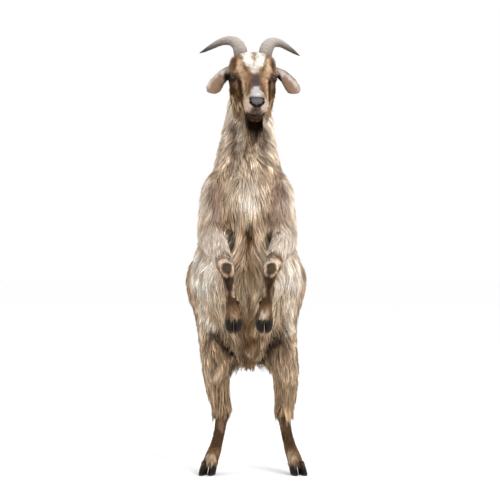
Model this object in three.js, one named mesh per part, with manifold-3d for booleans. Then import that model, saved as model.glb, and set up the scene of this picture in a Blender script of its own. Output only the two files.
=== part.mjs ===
// A life-size goat that stands upright on its hind legs, with its forelegs hanging bent before the chest.
// Millimetres, +Z up. The goat faces -Y and its left side is at +X. The origin is on the floor, under the
// middle of the whole model. The solids reach to the tips of the coat.
import * as THREE from "three";
import { mergeVertices } from "three/addons/utils/BufferGeometryUtils.js";
import Module from "manifold-3d";

const wasm = await Module();
wasm.setup();

// ---------- driving dimensions ----------
const gap = 0.3; // room between two pieces that meet
const poll = { x: 11, y: -62, z: 1280 }; // top of the head, between the horns
const facePitch = 37; // degrees that the line of the face runs below the horizontal
const faceYaw = 5.5; // degrees that the nose turns to the goat's left
const faceRoll = 1.5; // degrees that the goat's left ear is carried low
const headLength = 240; // poll to lips
const eye = { x: 53.5, down: 87, deep: 34, radius: 13.5 };
const sole = { width: 25, length: 58, height: 42 }; // one hind claw
const foot = { x: 136, y: -4, toeOut: 9, splay: 8 }; // middle of a hind foot, and its turn in degrees
const foreFoot = { x: 44, y: -279, z: 471, hang: 42 }; // middle of a hanging fore foot
const stanceShift = { feet: 12, hips: -9, from: 180, to: 520 }; // how far the goat stands out of line
const spineLean = 24; // degrees that the back leans forward of upright
const setOver = { x: 9, y: 26.6 }; // puts the origin under the middle of the model's box

// ---------- closed bodies through key sections ----------
// A section is {z, x, wide, mid, front, back, crown, keel}: a half width, the Y of the widest line, of the
// front and of the back, and how square the ring's front and back halves are (2 is an ellipse).
const sectionKeys = ["z", "x", "wide", "mid", "front", "back", "crown", "keel"];

// One number of the sections, smoothly between the keys: a Catmull-Rom curve in t, from 0 to keys - 1.
function between(values, t) {
  const i = Math.min(Math.floor(t), values.length - 2);
  const u = t - i;
  const pick = (k) => values[Math.max(0, Math.min(values.length - 1, k))];
  const [a, b, c, d] = [pick(i - 1), pick(i), pick(i + 1), pick(i + 2)];
  return b + (u * (c - a + u * (2 * a - 5 * b + 4 * c - d + u * (3 * (b - c) + d - a)))) / 2;
}

const unmoved = new THREE.Matrix4();

function solid(geometry, place) {
  const merged = mergeVertices(geometry.applyMatrix4(place), 1e-3);
  return new wasm.Manifold(
    new wasm.Mesh({
      numProp: 3,
      vertProperties: merged.attributes.position.array,
      triVerts: new Uint32Array(merged.index.array),
    }),
  );
}

// Skins a list of rings of equal length, first to last, and closes both ends with a fan.
function skinned(rings, place) {
  const sides = rings[0].length;
  const points = rings.flat();
  const triangles = [];
  for (let r = 0; r + 1 < rings.length; r++) {
    for (let k = 0; k < sides; k++) {
      const [a, b] = [r * sides + k, r * sides + ((k + 1) % sides)];
      triangles.push(a, b, b + sides, a, b + sides, a + sides);
    }
  }
  for (const [r, turned] of [[0, true], [rings.length - 1, false]]) {
    const middle = rings[r].reduce((sum, p) => sum.clone().add(p)).divideScalar(sides);
    points.push(middle);
    for (let k = 0; k < sides; k++) {
      const [a, b] = [r * sides + k, r * sides + ((k + 1) % sides)];
      triangles.push(...(turned ? [b, a, points.length - 1] : [a, b, points.length - 1]));
    }
  }
  const geometry = new THREE.BufferGeometry().setFromPoints(points);
  return solid(geometry.setIndex(triangles), place);
}

const rounded = (value, square) => Math.sign(value) * Math.abs(value) ** (2 / square);

// A body of level sections, from the lowest to the highest.
function levelBody(sections, { steps, sides, grow = 0, place = unmoved, bend = (p) => p }) {
  const read = (t) => {
    const s = {};
    for (const key of sectionKeys) {
      const fallback = { x: 0, crown: 2, keel: 2 }[key];
      s[key] = between(sections.map((section) => section[key] ?? fallback), t);
    }
    return s;
  };
  const rings = [];
  for (let i = 0; i <= steps; i++) {
    const s = read((i / steps) * (sections.length - 1));
    const ends = i === 0 ? -grow : i === steps ? grow : 0;
    const ring = [];
    for (let k = 0; k < sides; k++) {
      const a = (2 * Math.PI * k) / sides;
      const square = Math.sin(a) > 0 ? s.keel : s.crown;
      const depth = Math.sin(a) > 0 ? s.back - s.mid : s.mid - s.front;
      const point = new THREE.Vector3(
        s.x + (s.wide + grow) * rounded(Math.cos(a), square),
        s.mid + (depth + grow) * rounded(Math.sin(a), square),
        s.z + ends,
      );
      ring.push(bend(point));
    }
    rings.push(ring);
  }
  return skinned(rings, place);
}

// A body along a smooth path. A section is {at: [x, y, z], wide, thick}; `across` is the way that `wide` lies.
function pathBody(sections, { steps, sides, across, grow = 0, place = unmoved }) {
  const path = new THREE.CatmullRomCurve3(sections.map((s) => new THREE.Vector3(...s.at)));
  const rings = [];
  for (let i = 0; i <= steps; i++) {
    const t = i / steps;
    const along = path.getTangent(t);
    const wideWay = across.clone().addScaledVector(along, -across.dot(along)).normalize();
    const thickWay = new THREE.Vector3().crossVectors(along, wideWay);
    const wide = between(sections.map((s) => s.wide), t * (sections.length - 1)) + grow;
    const thick = between(sections.map((s) => s.thick), t * (sections.length - 1)) + grow;
    const centre = path.getPoint(t).addScaledVector(along, i === 0 ? -grow : i === steps ? grow : 0);
    const ring = [];
    for (let k = 0; k < sides; k++) {
      const a = (2 * Math.PI * k) / sides;
      ring.push(
        centre
          .clone()
          .addScaledVector(wideWay, wide * Math.cos(a))
          .addScaledVector(thickWay, thick * Math.sin(a)),
      );
    }
    rings.push(ring);
  }
  return skinned(rings, place);
}

// A ball stretched to three half sizes.
function ball([x, y, z], [rx, ry, rz], { segments, grow = 0, place = unmoved }) {
  const sphere = new THREE.SphereGeometry(1, segments, Math.round(segments * 0.7));
  sphere.scale(rx + grow, ry + grow, rz + grow).translate(x, y, z);
  return solid(sphere.deleteAttribute("normal").deleteAttribute("uv"), place);
}

function joined(...bodies) {
  return bodies.reduce((a, b) => a.add(b));
}

// Parts a body with a thin cut through `point`, and returns what lies on the normal's side and the rest.
function parted(body, point, normal) {
  const n = new THREE.Vector3(...normal).normalize();
  const at = n.dot(new THREE.Vector3(...point));
  return [
    body.trimByPlane(n.toArray(), at + gap / 2),
    body.trimByPlane(n.clone().negate().toArray(), -(at - gap / 2)),
  ];
}

function mirrored(sections, side) {
  return sections.map((s) =>
    s.at
      ? { ...s, at: [side * s.at[0], s.at[1], s.at[2]] }
      : { ...s, x: side * (s.x ?? 0) + (s.drift ?? 0) },
  );
}

// ---------- trunk and neck ----------
const trunkSections = [
  { z: 319, wide: 42, mid: 60, front: 6, back: 110 },
  { z: 342, wide: 62, mid: 60, front: -38, back: 148 },
  { z: 385, wide: 86, mid: 50, front: -92, back: 196 },
  { z: 430, wide: 112, mid: 40, front: -134, back: 228 },
  { z: 475, x: -4, wide: 138, mid: 25, front: -164, back: 244 },
  { z: 530, x: -8, wide: 164, mid: 20, front: -188, back: 246 },
  { z: 590, x: -9, wide: 178, mid: 10, front: -202, back: 230, crown: 2.1 },
  { z: 640, x: -9, wide: 171, mid: 0, front: -208, back: 210, crown: 2.1 },
  { z: 700, x: -9, wide: 152, mid: -8, front: -216, back: 186, crown: 2 },
  { z: 760, x: -8, wide: 136, mid: -20, front: -224, back: 160, crown: 1.9 },
  { z: 820, x: -7, wide: 126, mid: -34, front: -226, back: 134, crown: 1.9 },
  { z: 870, x: -6, wide: 120, mid: -48, front: -212, back: 110, crown: 2 },
  { z: 910, x: -5, wide: 112, mid: -54, front: -188, back: 90, crown: 2.1, keel: 1.9 },
  { z: 950, x: -5, wide: 102, mid: -52, front: -160, back: 70, crown: 2.2, keel: 1.9 },
  { z: 1000, x: -5, wide: 90, mid: -44, front: -132, back: 54, crown: 2.2 },
  { z: 1060, x: -2, wide: 80, mid: -34, front: -104, back: 44, crown: 2.2 },
  { z: 1120, x: 3, wide: 75, mid: -26, front: -84, back: 34 },
  { z: 1180, x: 7, wide: 68, mid: -24, front: -72, back: 22 },
  { z: 1222, x: 9, wide: 56, mid: -30, front: -66, back: 8 },
  { z: 1246, x: 10, wide: 38, mid: -36, front: -60, back: -10 },
  { z: 1256, x: 10, wide: 16, mid: -38, front: -48, back: -26 },
];

const trunkAndNeck = (grow = 0) => levelBody(trunkSections, { steps: 23, sides: 20, grow });

// ---------- hind legs ----------
const thighSections = [
  { z: 203, x: 97, wide: 29, mid: 66, front: 34, back: 100 },
  { z: 214, x: 103, wide: 36, mid: 64, front: 24, back: 108 },
  { z: 236, x: 104, wide: 37, mid: 62, front: 8, back: 114 },
  { z: 262, x: 106, wide: 41, mid: 60, front: -10, back: 120 },
  { z: 300, x: 104, wide: 49, mid: 50, front: -44, back: 124 },
  { z: 350, x: 100, wide: 50, mid: 30, front: -84, back: 142 },
  { z: 400, x: 101, wide: 52, mid: 20, front: -106, back: 172 },
  { z: 450, x: 102, wide: 53, mid: 30, front: -110, back: 205 },
  { z: 500, x: 108, wide: 58, mid: 45, front: -96, back: 222 },
  { z: 550, x: 120, wide: 66, mid: 60, front: -66, back: 222 },
  { z: 600, x: 128, wide: 66, mid: 75, front: -20, back: 204 },
  { z: 635, x: 128, wide: 56, mid: 85, front: 20, back: 176 },
  { z: 658, x: 128, wide: 36, mid: 90, front: 52, back: 140 },
  { z: 664, x: 128, wide: 16, mid: 92, front: 74, back: 114 },
];

const shankSections = [
  { z: 33, x: 132, wide: 26, mid: 2, front: -24, back: 28 },
  { z: 46, x: 128, wide: 25, mid: 6, front: -26, back: 34 },
  { z: 66, x: 120, wide: 24, mid: 14, front: -16, back: 46 },
  { z: 90, x: 112, wide: 20.5, mid: 28, front: 2, back: 54 },
  { z: 116, x: 105, wide: 19.5, mid: 40, front: 18, back: 64 },
  { z: 142, x: 100, wide: 19.5, mid: 50, front: 28, back: 74 },
  { z: 168, x: 96, wide: 22, mid: 58, front: 34, back: 86 },
  { z: 190, x: 95, wide: 25, mid: 63, front: 34, back: 100 },
  { z: 212, x: 96, wide: 26, mid: 67, front: 36, back: 106 },
  { z: 236, x: 98, wide: 20, mid: 76, front: 50, back: 102 },
];

// The sections of a leg on one side, moved over with the stance.
function stood(sections, side) {
  const { feet, hips, from, to } = stanceShift;
  return mirrored(sections, side).map((s) => ({
    ...s,
    x: s.x + THREE.MathUtils.lerp(feet, hips, THREE.MathUtils.smoothstep(s.z, from, to)),
  }));
}

const thigh = (side, grow = 0) => levelBody(stood(thighSections, side), { steps: 12, sides: 12, grow });
const shank = (side, grow = 0) => levelBody(stood(shankSections, side), { steps: 9, sides: 10, grow });

// ---------- forelegs ----------
const upperArmSections = [
  { z: 682, x: 108, wide: 24, mid: -172, front: -200, back: -140 },
  { z: 704, x: 109, wide: 38, mid: -168, front: -216, back: -118 },
  { z: 740, x: 108, wide: 43, mid: -160, front: -222, back: -96 },
  { z: 790, x: 102, wide: 45, mid: -146, front: -214, back: -76 },
  { z: 840, x: 98, wide: 45, mid: -130, front: -202, back: -56 },
  { z: 880, x: 96, wide: 43, mid: -114, front: -182, back: -48 },
  { z: 910, x: 90, wide: 33, mid: -100, front: -156, back: -48 },
  { z: 926, x: 84, wide: 15, mid: -92, front: -118, back: -68 },
].map((s) => ({ ...s, drift: -6 }));

const forearmSections = [
  { at: [108, -150, 742], wide: 30, thick: 34 },
  { at: [106, -178, 728], wide: 41, thick: 44 },
  { at: [96, -226, 702], wide: 39, thick: 39 },
  { at: [80, -276, 671], wide: 31, thick: 31 },
  { at: [67, -312, 648], wide: 27, thick: 26 },
  { at: [61, -332, 632], wide: 22, thick: 20 },
];

const foreShankSections = [
  { z: 492, x: 44, wide: 22, mid: -302, front: -321, back: -284 },
  { z: 506, x: 45, wide: 23.5, mid: -302, front: -324, back: -280 },
  { z: 522, x: 47, wide: 22.5, mid: -303, front: -325, back: -278 },
  { z: 545, x: 51, wide: 16.5, mid: -309, front: -327, back: -290 },
  { z: 580, x: 55, wide: 16.5, mid: -316, front: -334, back: -297 },
  { z: 606, x: 58, wide: 19, mid: -322, front: -344, back: -299 },
  { z: 628, x: 61, wide: 24.5, mid: -326, front: -355, back: -300 },
  { z: 648, x: 62, wide: 24.5, mid: -322, front: -352, back: -296 },
  { z: 664, x: 65, wide: 15, mid: -312, front: -332, back: -294 },
];

function foreleg(side, grow = 0) {
  return joined(
    levelBody(mirrored(upperArmSections, side), { steps: 7, sides: 12, grow }),
    pathBody(mirrored(forearmSections, side), {
      steps: 5,
      sides: 10,
      across: new THREE.Vector3(1, 0, 0),
      grow,
    }),
    levelBody(mirrored(foreShankSections, side), { steps: 9, sides: 10, grow }),
  );
}

// ---------- claws ----------
// One claw with its sole at z 0 and its toe at -Y: a flat sole, a sloping front wall and a round heel. The
// wall on the side of the cleft is the straighter one, so the toe lies over to that side.
function claw({ cleft, lean = 0, grow = 0, place }) {
  const half = sole.width / 2;
  const [toe, heel] = [-0.6 * sole.length, 0.4 * sole.length];
  return levelBody(
    [
      { z: 0, x: lean, wide: half - 1, mid: 2, front: toe, back: heel, crown: 1.7 },
      { z: 4, x: 0.9 * lean, wide: half, mid: 2, front: toe - 1, back: heel + 1, crown: 1.7 },
      { z: 0.5 * sole.height, wide: half, mid: 3, front: toe + 10, back: heel + 2, crown: 1.9 },
      { z: sole.height, x: -lean, wide: half - 2, mid: 4, front: toe + 21, back: heel },
    ],
    {
      steps: 3,
      sides: 10,
      grow,
      place,
      bend: (p) => p.setX(p.x + cleft * 0.3 * half * Math.min(1, Math.max(0, -p.y / (0.6 * sole.length))) ** 2),
    },
  );
}

const dewclaw = (place) =>
  pathBody(
    [
      { at: [0, 0, 4], wide: 5, thick: 4 },
      { at: [0, 3, -2], wide: 8, thick: 6 },
      { at: [0, 6, -12], wide: 6.5, thick: 4.5 },
      { at: [0, 7, -20], wide: 2.5, thick: 1.5 },
    ],
    { steps: 3, sides: 5, across: new THREE.Vector3(1, 0, 0), place },
  );

function placed({ x, y, z, turn = 0, tip = 0, roll = 0 }) {
  const [a, b, c] = [tip, roll, turn].map(THREE.MathUtils.degToRad);
  return new THREE.Matrix4().makeRotationFromEuler(new THREE.Euler(a, b, c, "ZXY")).setPosition(x, y, z);
}

// What each claw and dewclaw of one foot needs. `out` is +1 on the claw away from the body's middle.
function footPlaces(leg, side) {
  const hind = leg === "hind";
  return [-1, 1].map((out) => ({
    name: `${leg}_${side < 0 ? "right" : "left"}_${out < 0 ? "inner" : "outer"}`,
    cleft: -side * out,
    lean: hind ? side * 4 : 0,
    claw: placed(
      hind
        ? {
            x: side * (foot.x + out * 13.5) + stanceShift.feet,
            y: foot.y,
            z: 0,
            turn: side * (foot.toeOut + out * foot.splay),
          }
        : {
            x: side * (foreFoot.x + out * 13.3),
            y: foreFoot.y,
            z: foreFoot.z,
            turn: -side * out,
            tip: foreFoot.hang,
          },
    ),
    dewclaw: placed(
      hind
        ? { x: side * (118 + out * 13) + stanceShift.feet, y: 44, z: 73, turn: side * out * 25 }
        : { x: side * (48 + out * 14), y: -282, z: 538, turn: side * out * 25 },
    ),
  }));
}

// ---------- head ----------
// It is modelled with the face upright, nose down and forehead to -Y, and then tipped forward into place.
const headSections = [
  { z: -headLength, wide: 16, mid: 42, front: 28, back: 58 },
  { z: -headLength + 6, wide: 27, mid: 42, front: 16, back: 74 },
  { z: -headLength + 18, wide: 35, mid: 46, front: 9, back: 86, crown: 2.5, keel: 2.4 },
  { z: -200, wide: 37.5, mid: 46, front: 5, back: 92, crown: 2.5, keel: 2.4 },
  { z: -172, wide: 40, mid: 46, front: 3, back: 92, crown: 2.2, keel: 2.2 },
  { z: -145, wide: 47, mid: 50, front: 2, back: 100, crown: 2, keel: 2.1 },
  { z: -115, wide: 58, mid: 54, front: 0, back: 116, crown: 2, keel: 2.3 },
  { z: -86, wide: 67, mid: 54, front: -4, back: 126, crown: 2.2, keel: 2.3 },
  { z: -56, wide: 70, mid: 50, front: -9, back: 126, crown: 2.3, keel: 2.3 },
  { z: -28, wide: 66, mid: 46, front: -11, back: 116, crown: 2.3 },
  { z: 0, wide: 58, mid: 46, front: -5, back: 100, crown: 2.2 },
  { z: 18, wide: 42, mid: 48, front: 10, back: 84 },
  { z: 27, wide: 18, mid: 48, front: 32, back: 64 },
];

const pitched = new THREE.Matrix4().makeRotationX(THREE.MathUtils.degToRad(facePitch - 90));
const headPlace = new THREE.Matrix4()
  .makeTranslation(poll.x, poll.y, poll.z)
  .multiply(new THREE.Matrix4().makeRotationY(THREE.MathUtils.degToRad(faceRoll)))
  .multiply(new THREE.Matrix4().makeRotationZ(THREE.MathUtils.degToRad(faceYaw)))
  .multiply(pitched);

function headWhole(grow = 0) {
  const fine = { segments: 10, grow, place: headPlace };
  return joined(
    levelBody(headSections, { steps: 14, sides: 16, grow, place: headPlace }),
    ball([0, 28, 7 - headLength], [23, 15, 13], fine), // nose pad
    ball([0, 82, 32 - headLength], [23, 15, 24], fine), // chin
  );
}

const eyeball = (side, grow = 0) =>
  ball([side * eye.x, eye.deep, -eye.down], [eye.radius, eye.radius, eye.radius], {
    segments: 8,
    grow,
    place: headPlace,
  });

// ---------- ears and horns ----------
// The curves are given as they stand in front view, from the poll: out, back and up.
const unpitched = pitched.clone().invert();
const inHead = (side, [out, back, up]) =>
  new THREE.Vector3(side * out, back, up).applyMatrix4(unpitched);

const hornCurve = [
  { at: [35, -12, -22], wide: 17, thick: 21 },
  { at: [37, -10, -4], wide: 18.5, thick: 23 },
  { at: [43, -2, 19], wide: 17, thick: 21.5 },
  { at: [59, 14, 35], wide: 15.5, thick: 19 },
  { at: [82, 34, 37], wide: 13, thick: 16 },
  { at: [107, 56, 30], wide: 10.5, thick: 12.5 },
  { at: [132, 76, 19], wide: 7, thick: 8.5 },
  { at: [155, 92, 9], wide: 1.6, thick: 2 },
];

const earHeld = { right: { out: -6, up: 0 }, left: { out: 0, up: 7 } }; // how each ear is carried

const earCurve = [
  { at: [56, 12, -52], wide: 13, thick: 13 },
  { at: [79, 7, -59], wide: 18, thick: 11 },
  { at: [98, -2, -75], wide: 21, thick: 8 },
  { at: [114, -12, -95], wide: 25, thick: 6 },
  { at: [123, -20, -113], wide: 27, thick: 5 },
  { at: [127, -25, -124], wide: 23, thick: 4.5 },
  { at: [128, -27, -130], wide: 14, thick: 3.5 },
];

function curled(curve, side, { out, up } = { out: 0, up: 0 }) {
  return curve.map((s, i) => {
    const share = Math.min(1, i / 2);
    const at = [s.at[0] + share * out, s.at[1], s.at[2] + share * up];
    return { ...s, at: inHead(side, at).toArray() };
  });
}

const horn = (side, grow = 0) =>
  pathBody(curled(hornCurve, side), {
    steps: 10,
    sides: 8,
    across: inHead(side, [0.35, -0.35, 0.9]),
    grow,
    place: headPlace,
  });

const ear = (side, grow = 0) =>
  pathBody(curled(earCurve, side, side < 0 ? earHeld.right : earHeld.left), {
    steps: 8,
    sides: 8,
    across: inHead(side, [0.84, 0.2, 0.53]),
    grow,
    place: headPlace,
  });

// ---------- beard and tail ----------
const beard = (grow = 0) =>
  pathBody(
    [
      { at: [22, -188, 1098], wide: 20, thick: 17 },
      { at: [21, -186, 1070], wide: 26, thick: 20 },
      { at: [18, -178, 1038], wide: 23, thick: 16 },
      { at: [14, -168, 1008], wide: 15, thick: 10 },
      { at: [12, -163, 984], wide: 4, thick: 3 },
    ],
    { steps: 6, sides: 8, across: new THREE.Vector3(1, 0, 0), grow },
  );

const tail = (grow = 0) =>
  pathBody(
    [
      { at: [-6, 215, 545], wide: 20, thick: 16 },
      { at: [-6, 244, 562], wide: 24, thick: 17 },
      { at: [-5, 272, 586], wide: 26, thick: 15 },
      { at: [-4, 290, 616], wide: 20, thick: 11 },
      { at: [-4, 296, 642], wide: 5, thick: 3 },
    ],
    { steps: 6, sides: 8, across: new THREE.Vector3(1, 0, 0), grow },
  );

// ---------- the whole goat, part by part ----------
const coat = new THREE.MeshStandardMaterial({ color: 0xb9a488, roughness: 0.9, metalness: 0 });
const legCoat = new THREE.MeshStandardMaterial({ color: 0x6e4f3a, roughness: 0.85, metalness: 0 });
const faceCoat = new THREE.MeshStandardMaterial({ color: 0x9a7450, roughness: 0.85, metalness: 0 });
const hornCover = new THREE.MeshStandardMaterial({ color: 0x8d837c, roughness: 0.55, metalness: 0 });
const clawCover = new THREE.MeshStandardMaterial({ color: 0x2a2624, roughness: 0.5, metalness: 0 });
const eyeCover = new THREE.MeshStandardMaterial({ color: 0x8a6a2c, roughness: 0.1, metalness: 0 });

const goat = new THREE.Group();

function addPart(name, body, material) {
  const { vertProperties, triVerts, numProp } = body.getMesh();
  const positions = new Float32Array((vertProperties.length / numProp) * 3);
  for (let i = 0; i * 3 < positions.length; i++) {
    positions.set(vertProperties.subarray(i * numProp, i * numProp + 3), i * 3);
  }
  const geometry = new THREE.BufferGeometry();
  geometry.setAttribute("position", new THREE.BufferAttribute(positions, 3));
  geometry.setIndex(new THREE.BufferAttribute(triVerts, 1));
  geometry.computeVertexNormals();
  const mesh = new THREE.Mesh(geometry, material);
  mesh.name = name;
  mesh.position.set(setOver.x, setOver.y, 0);
  goat.add(mesh);
}

const sides = [
  ["right", -1],
  ["left", 1],
];

// Head: the horns, ears and eyes are set into it.
let head = headWhole();
for (const [word, side] of sides) {
  head = head.subtract(horn(side, gap)).subtract(ear(side, gap)).subtract(eyeball(side, gap));
  addPart(`horn_${word}`, horn(side), hornCover);
  addPart(`ear_${word}`, ear(side), faceCoat);
  addPart(`eye_${word}`, eyeball(side), eyeCover);
}
addPart("head", head, faceCoat);

// Trunk and neck: whole, less what is set into them, and parted across the spine.
let body = trunkAndNeck().subtract(headWhole(gap)).subtract(tail(gap));
for (const [, side] of sides) {
  body = body.subtract(ear(side, gap)).subtract(thigh(side, gap)).subtract(foreleg(side, gap));
}
const lean = THREE.MathUtils.degToRad(spineLean);
const acrossSpine = [0, -Math.sin(lean), Math.cos(lean)];
const [neck, belowNeck] = parted(body, [0, -60, 925], [0, 0.12, 1]);
const [chest, belowChest] = parted(belowNeck, [0, -30, 700], acrossSpine);
const [abdomen, rump] = parted(belowChest, [0, 60, 505], acrossSpine);
addPart("neck", neck, coat);
addPart("chest", chest, coat);
addPart("abdomen", abdomen, coat);
addPart("rump", rump, coat);
addPart("tail", tail(), coat);
addPart("beard", beard().subtract(headWhole(gap)).subtract(trunkAndNeck(gap)), coat);

// Legs, from the body down. The claws are set into the foot, and the dewclaws into the fetlock behind it.
function addFoot(name, flesh, places) {
  let rest = flesh;
  for (const { name: claws, claw: place, dewclaw: behind, cleft, lean: tilt } of places) {
    addPart(`${claws}_claw`, claw({ cleft, lean: tilt, place }), clawCover);
    rest = rest.subtract(claw({ cleft, lean: tilt, grow: gap, place }));
    addPart(`${claws}_dewclaw`, dewclaw(behind).subtract(rest), clawCover);
    rest = rest.subtract(dewclaw(behind));
  }
  addPart(name, rest, legCoat);
}

for (const [word, side] of sides) {
  const [haunch, gaskin] = parted(thigh(side), [0, 20, 392], [0, 0.35, 1]);
  const [cannon, hindFoot] = parted(shank(side).subtract(thigh(side, gap)), [0, 40, 92], [0, -0.35, 1]);
  addPart(`hind_${word}_thigh`, haunch, coat);
  addPart(`hind_${word}_gaskin`, gaskin, coat);
  addPart(`hind_${word}_cannon`, cannon, legCoat);
  addFoot(`hind_${word}_pastern`, hindFoot, footPlaces("hind", side));

  const [arm, belowElbow] = parted(foreleg(side), [0, -196, 718], [0, 0.86, 0.5]);
  const [forearm, belowKnee] = parted(belowElbow, [0, -312, 651], [0, 0.7, 0.7]);
  const [foreCannon, hangingFoot] = parted(belowKnee, [0, -300, 530], [0, 0, 1]);
  addPart(`fore_${word}_upper_arm`, arm, coat);
  addPart(`fore_${word}_forearm`, forearm, coat);
  addPart(`fore_${word}_cannon`, foreCannon, legCoat);
  addFoot(`fore_${word}_pastern`, hangingFoot, footPlaces("fore", side));
}

export default goat;
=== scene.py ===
# A life-size goat that stands upright on its hind legs, with its forelegs hanging bent before the chest.
# Metres, +Z up. The goat faces -Y and its left side is at +X. Sizes that end in MM are millimetres.
import math

import bpy
import numpy as np
from mathutils import Matrix, Vector
from mathutils.bvhtree import BVHTree
from mathutils.kdtree import KDTree


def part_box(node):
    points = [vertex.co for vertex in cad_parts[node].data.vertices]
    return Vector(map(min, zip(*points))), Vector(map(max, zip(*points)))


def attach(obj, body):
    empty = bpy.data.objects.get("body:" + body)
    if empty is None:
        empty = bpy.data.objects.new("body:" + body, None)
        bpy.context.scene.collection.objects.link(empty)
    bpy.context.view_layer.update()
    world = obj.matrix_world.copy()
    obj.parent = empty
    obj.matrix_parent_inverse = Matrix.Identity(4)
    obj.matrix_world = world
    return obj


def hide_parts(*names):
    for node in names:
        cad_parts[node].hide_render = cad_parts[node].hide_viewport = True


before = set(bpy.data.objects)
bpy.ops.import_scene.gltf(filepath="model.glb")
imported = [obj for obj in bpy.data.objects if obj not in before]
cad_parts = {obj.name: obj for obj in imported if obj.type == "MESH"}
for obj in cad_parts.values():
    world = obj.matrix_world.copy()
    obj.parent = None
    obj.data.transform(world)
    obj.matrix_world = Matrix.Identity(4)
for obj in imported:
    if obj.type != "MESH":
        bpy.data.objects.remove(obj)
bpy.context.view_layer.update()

# ---------------------------------------------------------------- skin
# The hide is one closed surface from the lips to the coronets. It is the joined shape of head, neck,
# trunk, tail, ears and legs, drawn in by the depth of the hair that grows on each, and then the lids,
# nostrils, lips and the bald pads of the knees are worked into it.
MM = 0.001
GROW = 0.4 * MM  # closes the thin gaps between the frame's pieces
VOXEL = 3.6 * MM
COAT_DEPTH_MM = {
    "head": 2.7, "ear": 1.2, "neck": 17, "chest": 24, "abdomen": 25, "rump": 24, "tail": 6,
    "thigh": 21, "gaskin": 17, "upper_arm": 18, "forearm": 11, "cannon": 3.2, "pastern": 3,
}
EVENNESS = {  # how much the modelled planes of each part are rubbed smooth
    "head": 0.16, "ear": 0.08, "neck": 0.5, "chest": 0.5, "abdomen": 0.5, "rump": 0.5, "tail": 0.3,
    "thigh": 0.5, "gaskin": 0.4, "upper_arm": 0.4, "forearm": 0.35, "cannon": 0.2, "pastern": 0.2,
}
SIDES = {"right": -1, "left": 1}

# The head's own frame, in millimetres: x towards the goat's left, y back from the face, and v down the
# face from the poll to the lips, kept as -z.
POLL = Vector((20, -35.4, 1280))
head_place = (
    Matrix.Translation(POLL)
    @ Matrix.Rotation(math.radians(1.5), 4, "Y")
    @ Matrix.Rotation(math.radians(5.5), 4, "Z")
    @ Matrix.Rotation(math.radians(-53), 4, "X")
)


def on_head(points):
    """Points of the model, in metres, as (x, y, v) of the head in millimetres."""
    inverse = np.array(head_place.inverted())
    local = (points / MM) @ inverse[:3, :3].T + inverse[:3, 3]
    return local * (1, 1, -1)


def from_head(x, y, v):
    return head_place @ Vector((x, y, -v)) * MM


def head_way(x, y, v):
    return (head_place.to_3x3() @ Vector((x, y, -v))).normalized()


def kind(node):
    """The part that a node is, whatever its side and leg: gaskin for hind_left_gaskin."""
    return "_".join(w for w in node.split("_") if w not in ("hind", "fore", "right", "left"))


def blank(name, mesh=None):
    piece = bpy.data.objects.new(name, mesh or bpy.data.meshes.new(name))
    bpy.context.collection.objects.link(piece)
    return piece


def pick_only(piece):
    bpy.ops.object.select_all(action="DESELECT")
    piece.select_set(True)
    bpy.context.view_layer.objects.active = piece


def merged_copy(name, nodes):
    """One object of the frame's nodes, with their loose triangles joined up."""
    copies = [blank(name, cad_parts[node].data.copy()) for node in nodes]
    pick_only(copies[0])
    for piece in copies[1:]:
        piece.select_set(True)
    if len(copies) > 1:
        bpy.ops.object.join()
    piece = copies[0]
    piece.data.materials.clear()
    bpy.ops.object.mode_set(mode="EDIT")
    bpy.ops.mesh.select_all(action="SELECT")
    bpy.ops.mesh.remove_doubles(threshold=0.01 * MM)
    bpy.ops.object.mode_set(mode="OBJECT")
    return piece


def finish_with(piece, kind_of_modifier, **settings):
    pick_only(piece)
    modifier = piece.modifiers.new("work", kind_of_modifier)
    for key, value in settings.items():
        setattr(modifier, key, value)
    bpy.ops.object.modifier_apply(modifier="work")


def rows_of(items, what, width=3, number=float):
    """One row of numbers for each point, edge or face of a mesh."""
    flat = np.empty(width * len(items), number)
    items.foreach_get(what, flat)
    return flat.reshape(-1, width)


def points_of(mesh):
    return rows_of(mesh.vertices, "co")


def normals_of(mesh):
    return rows_of(mesh.vertices, "normal")


def set_points(mesh, points):
    mesh.vertices.foreach_set("co", points.ravel())
    mesh.update()


def edges_of(mesh):
    return rows_of(mesh.edges, "vertices", 2, np.int32)


def relaxed(values, edges, share, rounds):
    """Each value drawn by its share towards the mean of its neighbours, so many times over."""
    a, b = edges.T
    n = len(values)
    count = np.bincount(a, minlength=n) + np.bincount(b, minlength=n)
    count = np.maximum(count, 1)
    values = values.astype(float).copy()
    for _ in range(rounds):
        for axis in range(values.shape[1]):
            v = values[:, axis]
            total = np.bincount(a, v[b], n) + np.bincount(b, v[a], n)
            values[:, axis] = v + share * (total / count - v)
    return values


def bump(distance, width):
    return np.exp(-((distance / width) ** 2))


def smooth_step(value, low, high):
    t = np.clip((value - low) / (high - low), 0, 1)
    return t * t * (3 - 2 * t)


def tree_of(piece):
    return BVHTree.FromPolygons(points_of(piece.data).tolist(), [p.vertices for p in piece.data.polygons])


def unit(vectors):
    return vectors / np.maximum(np.linalg.norm(vectors, axis=-1, keepdims=True), 1e-9)


def tangent(ways, normals):
    return unit(ways - normals * (ways * normals).sum(1, keepdims=True))


flesh = [n for n in sorted(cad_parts) if kind(n) in COAT_DEPTH_MM]
skin = merged_copy("skin", flesh + ["eye_right", "eye_left"])
finish_with(skin, "DISPLACE", strength=GROW, mid_level=0)
finish_with(skin, "REMESH", mode="VOXEL", voxel_size=VOXEL)
outline_tree = tree_of(skin)

# Which node each point of the hide belongs to.
corners, faces, owner = [], [], []
for number, node in enumerate(flesh):
    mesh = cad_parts[node].data
    base = len(corners)
    corners += [v.co for v in mesh.vertices]
    faces += [[base + i for i in p.vertices] for p in mesh.polygons]
    owner += [number] * len(mesh.polygons)
frame_tree = BVHTree.FromPolygons(corners, faces)


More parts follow.
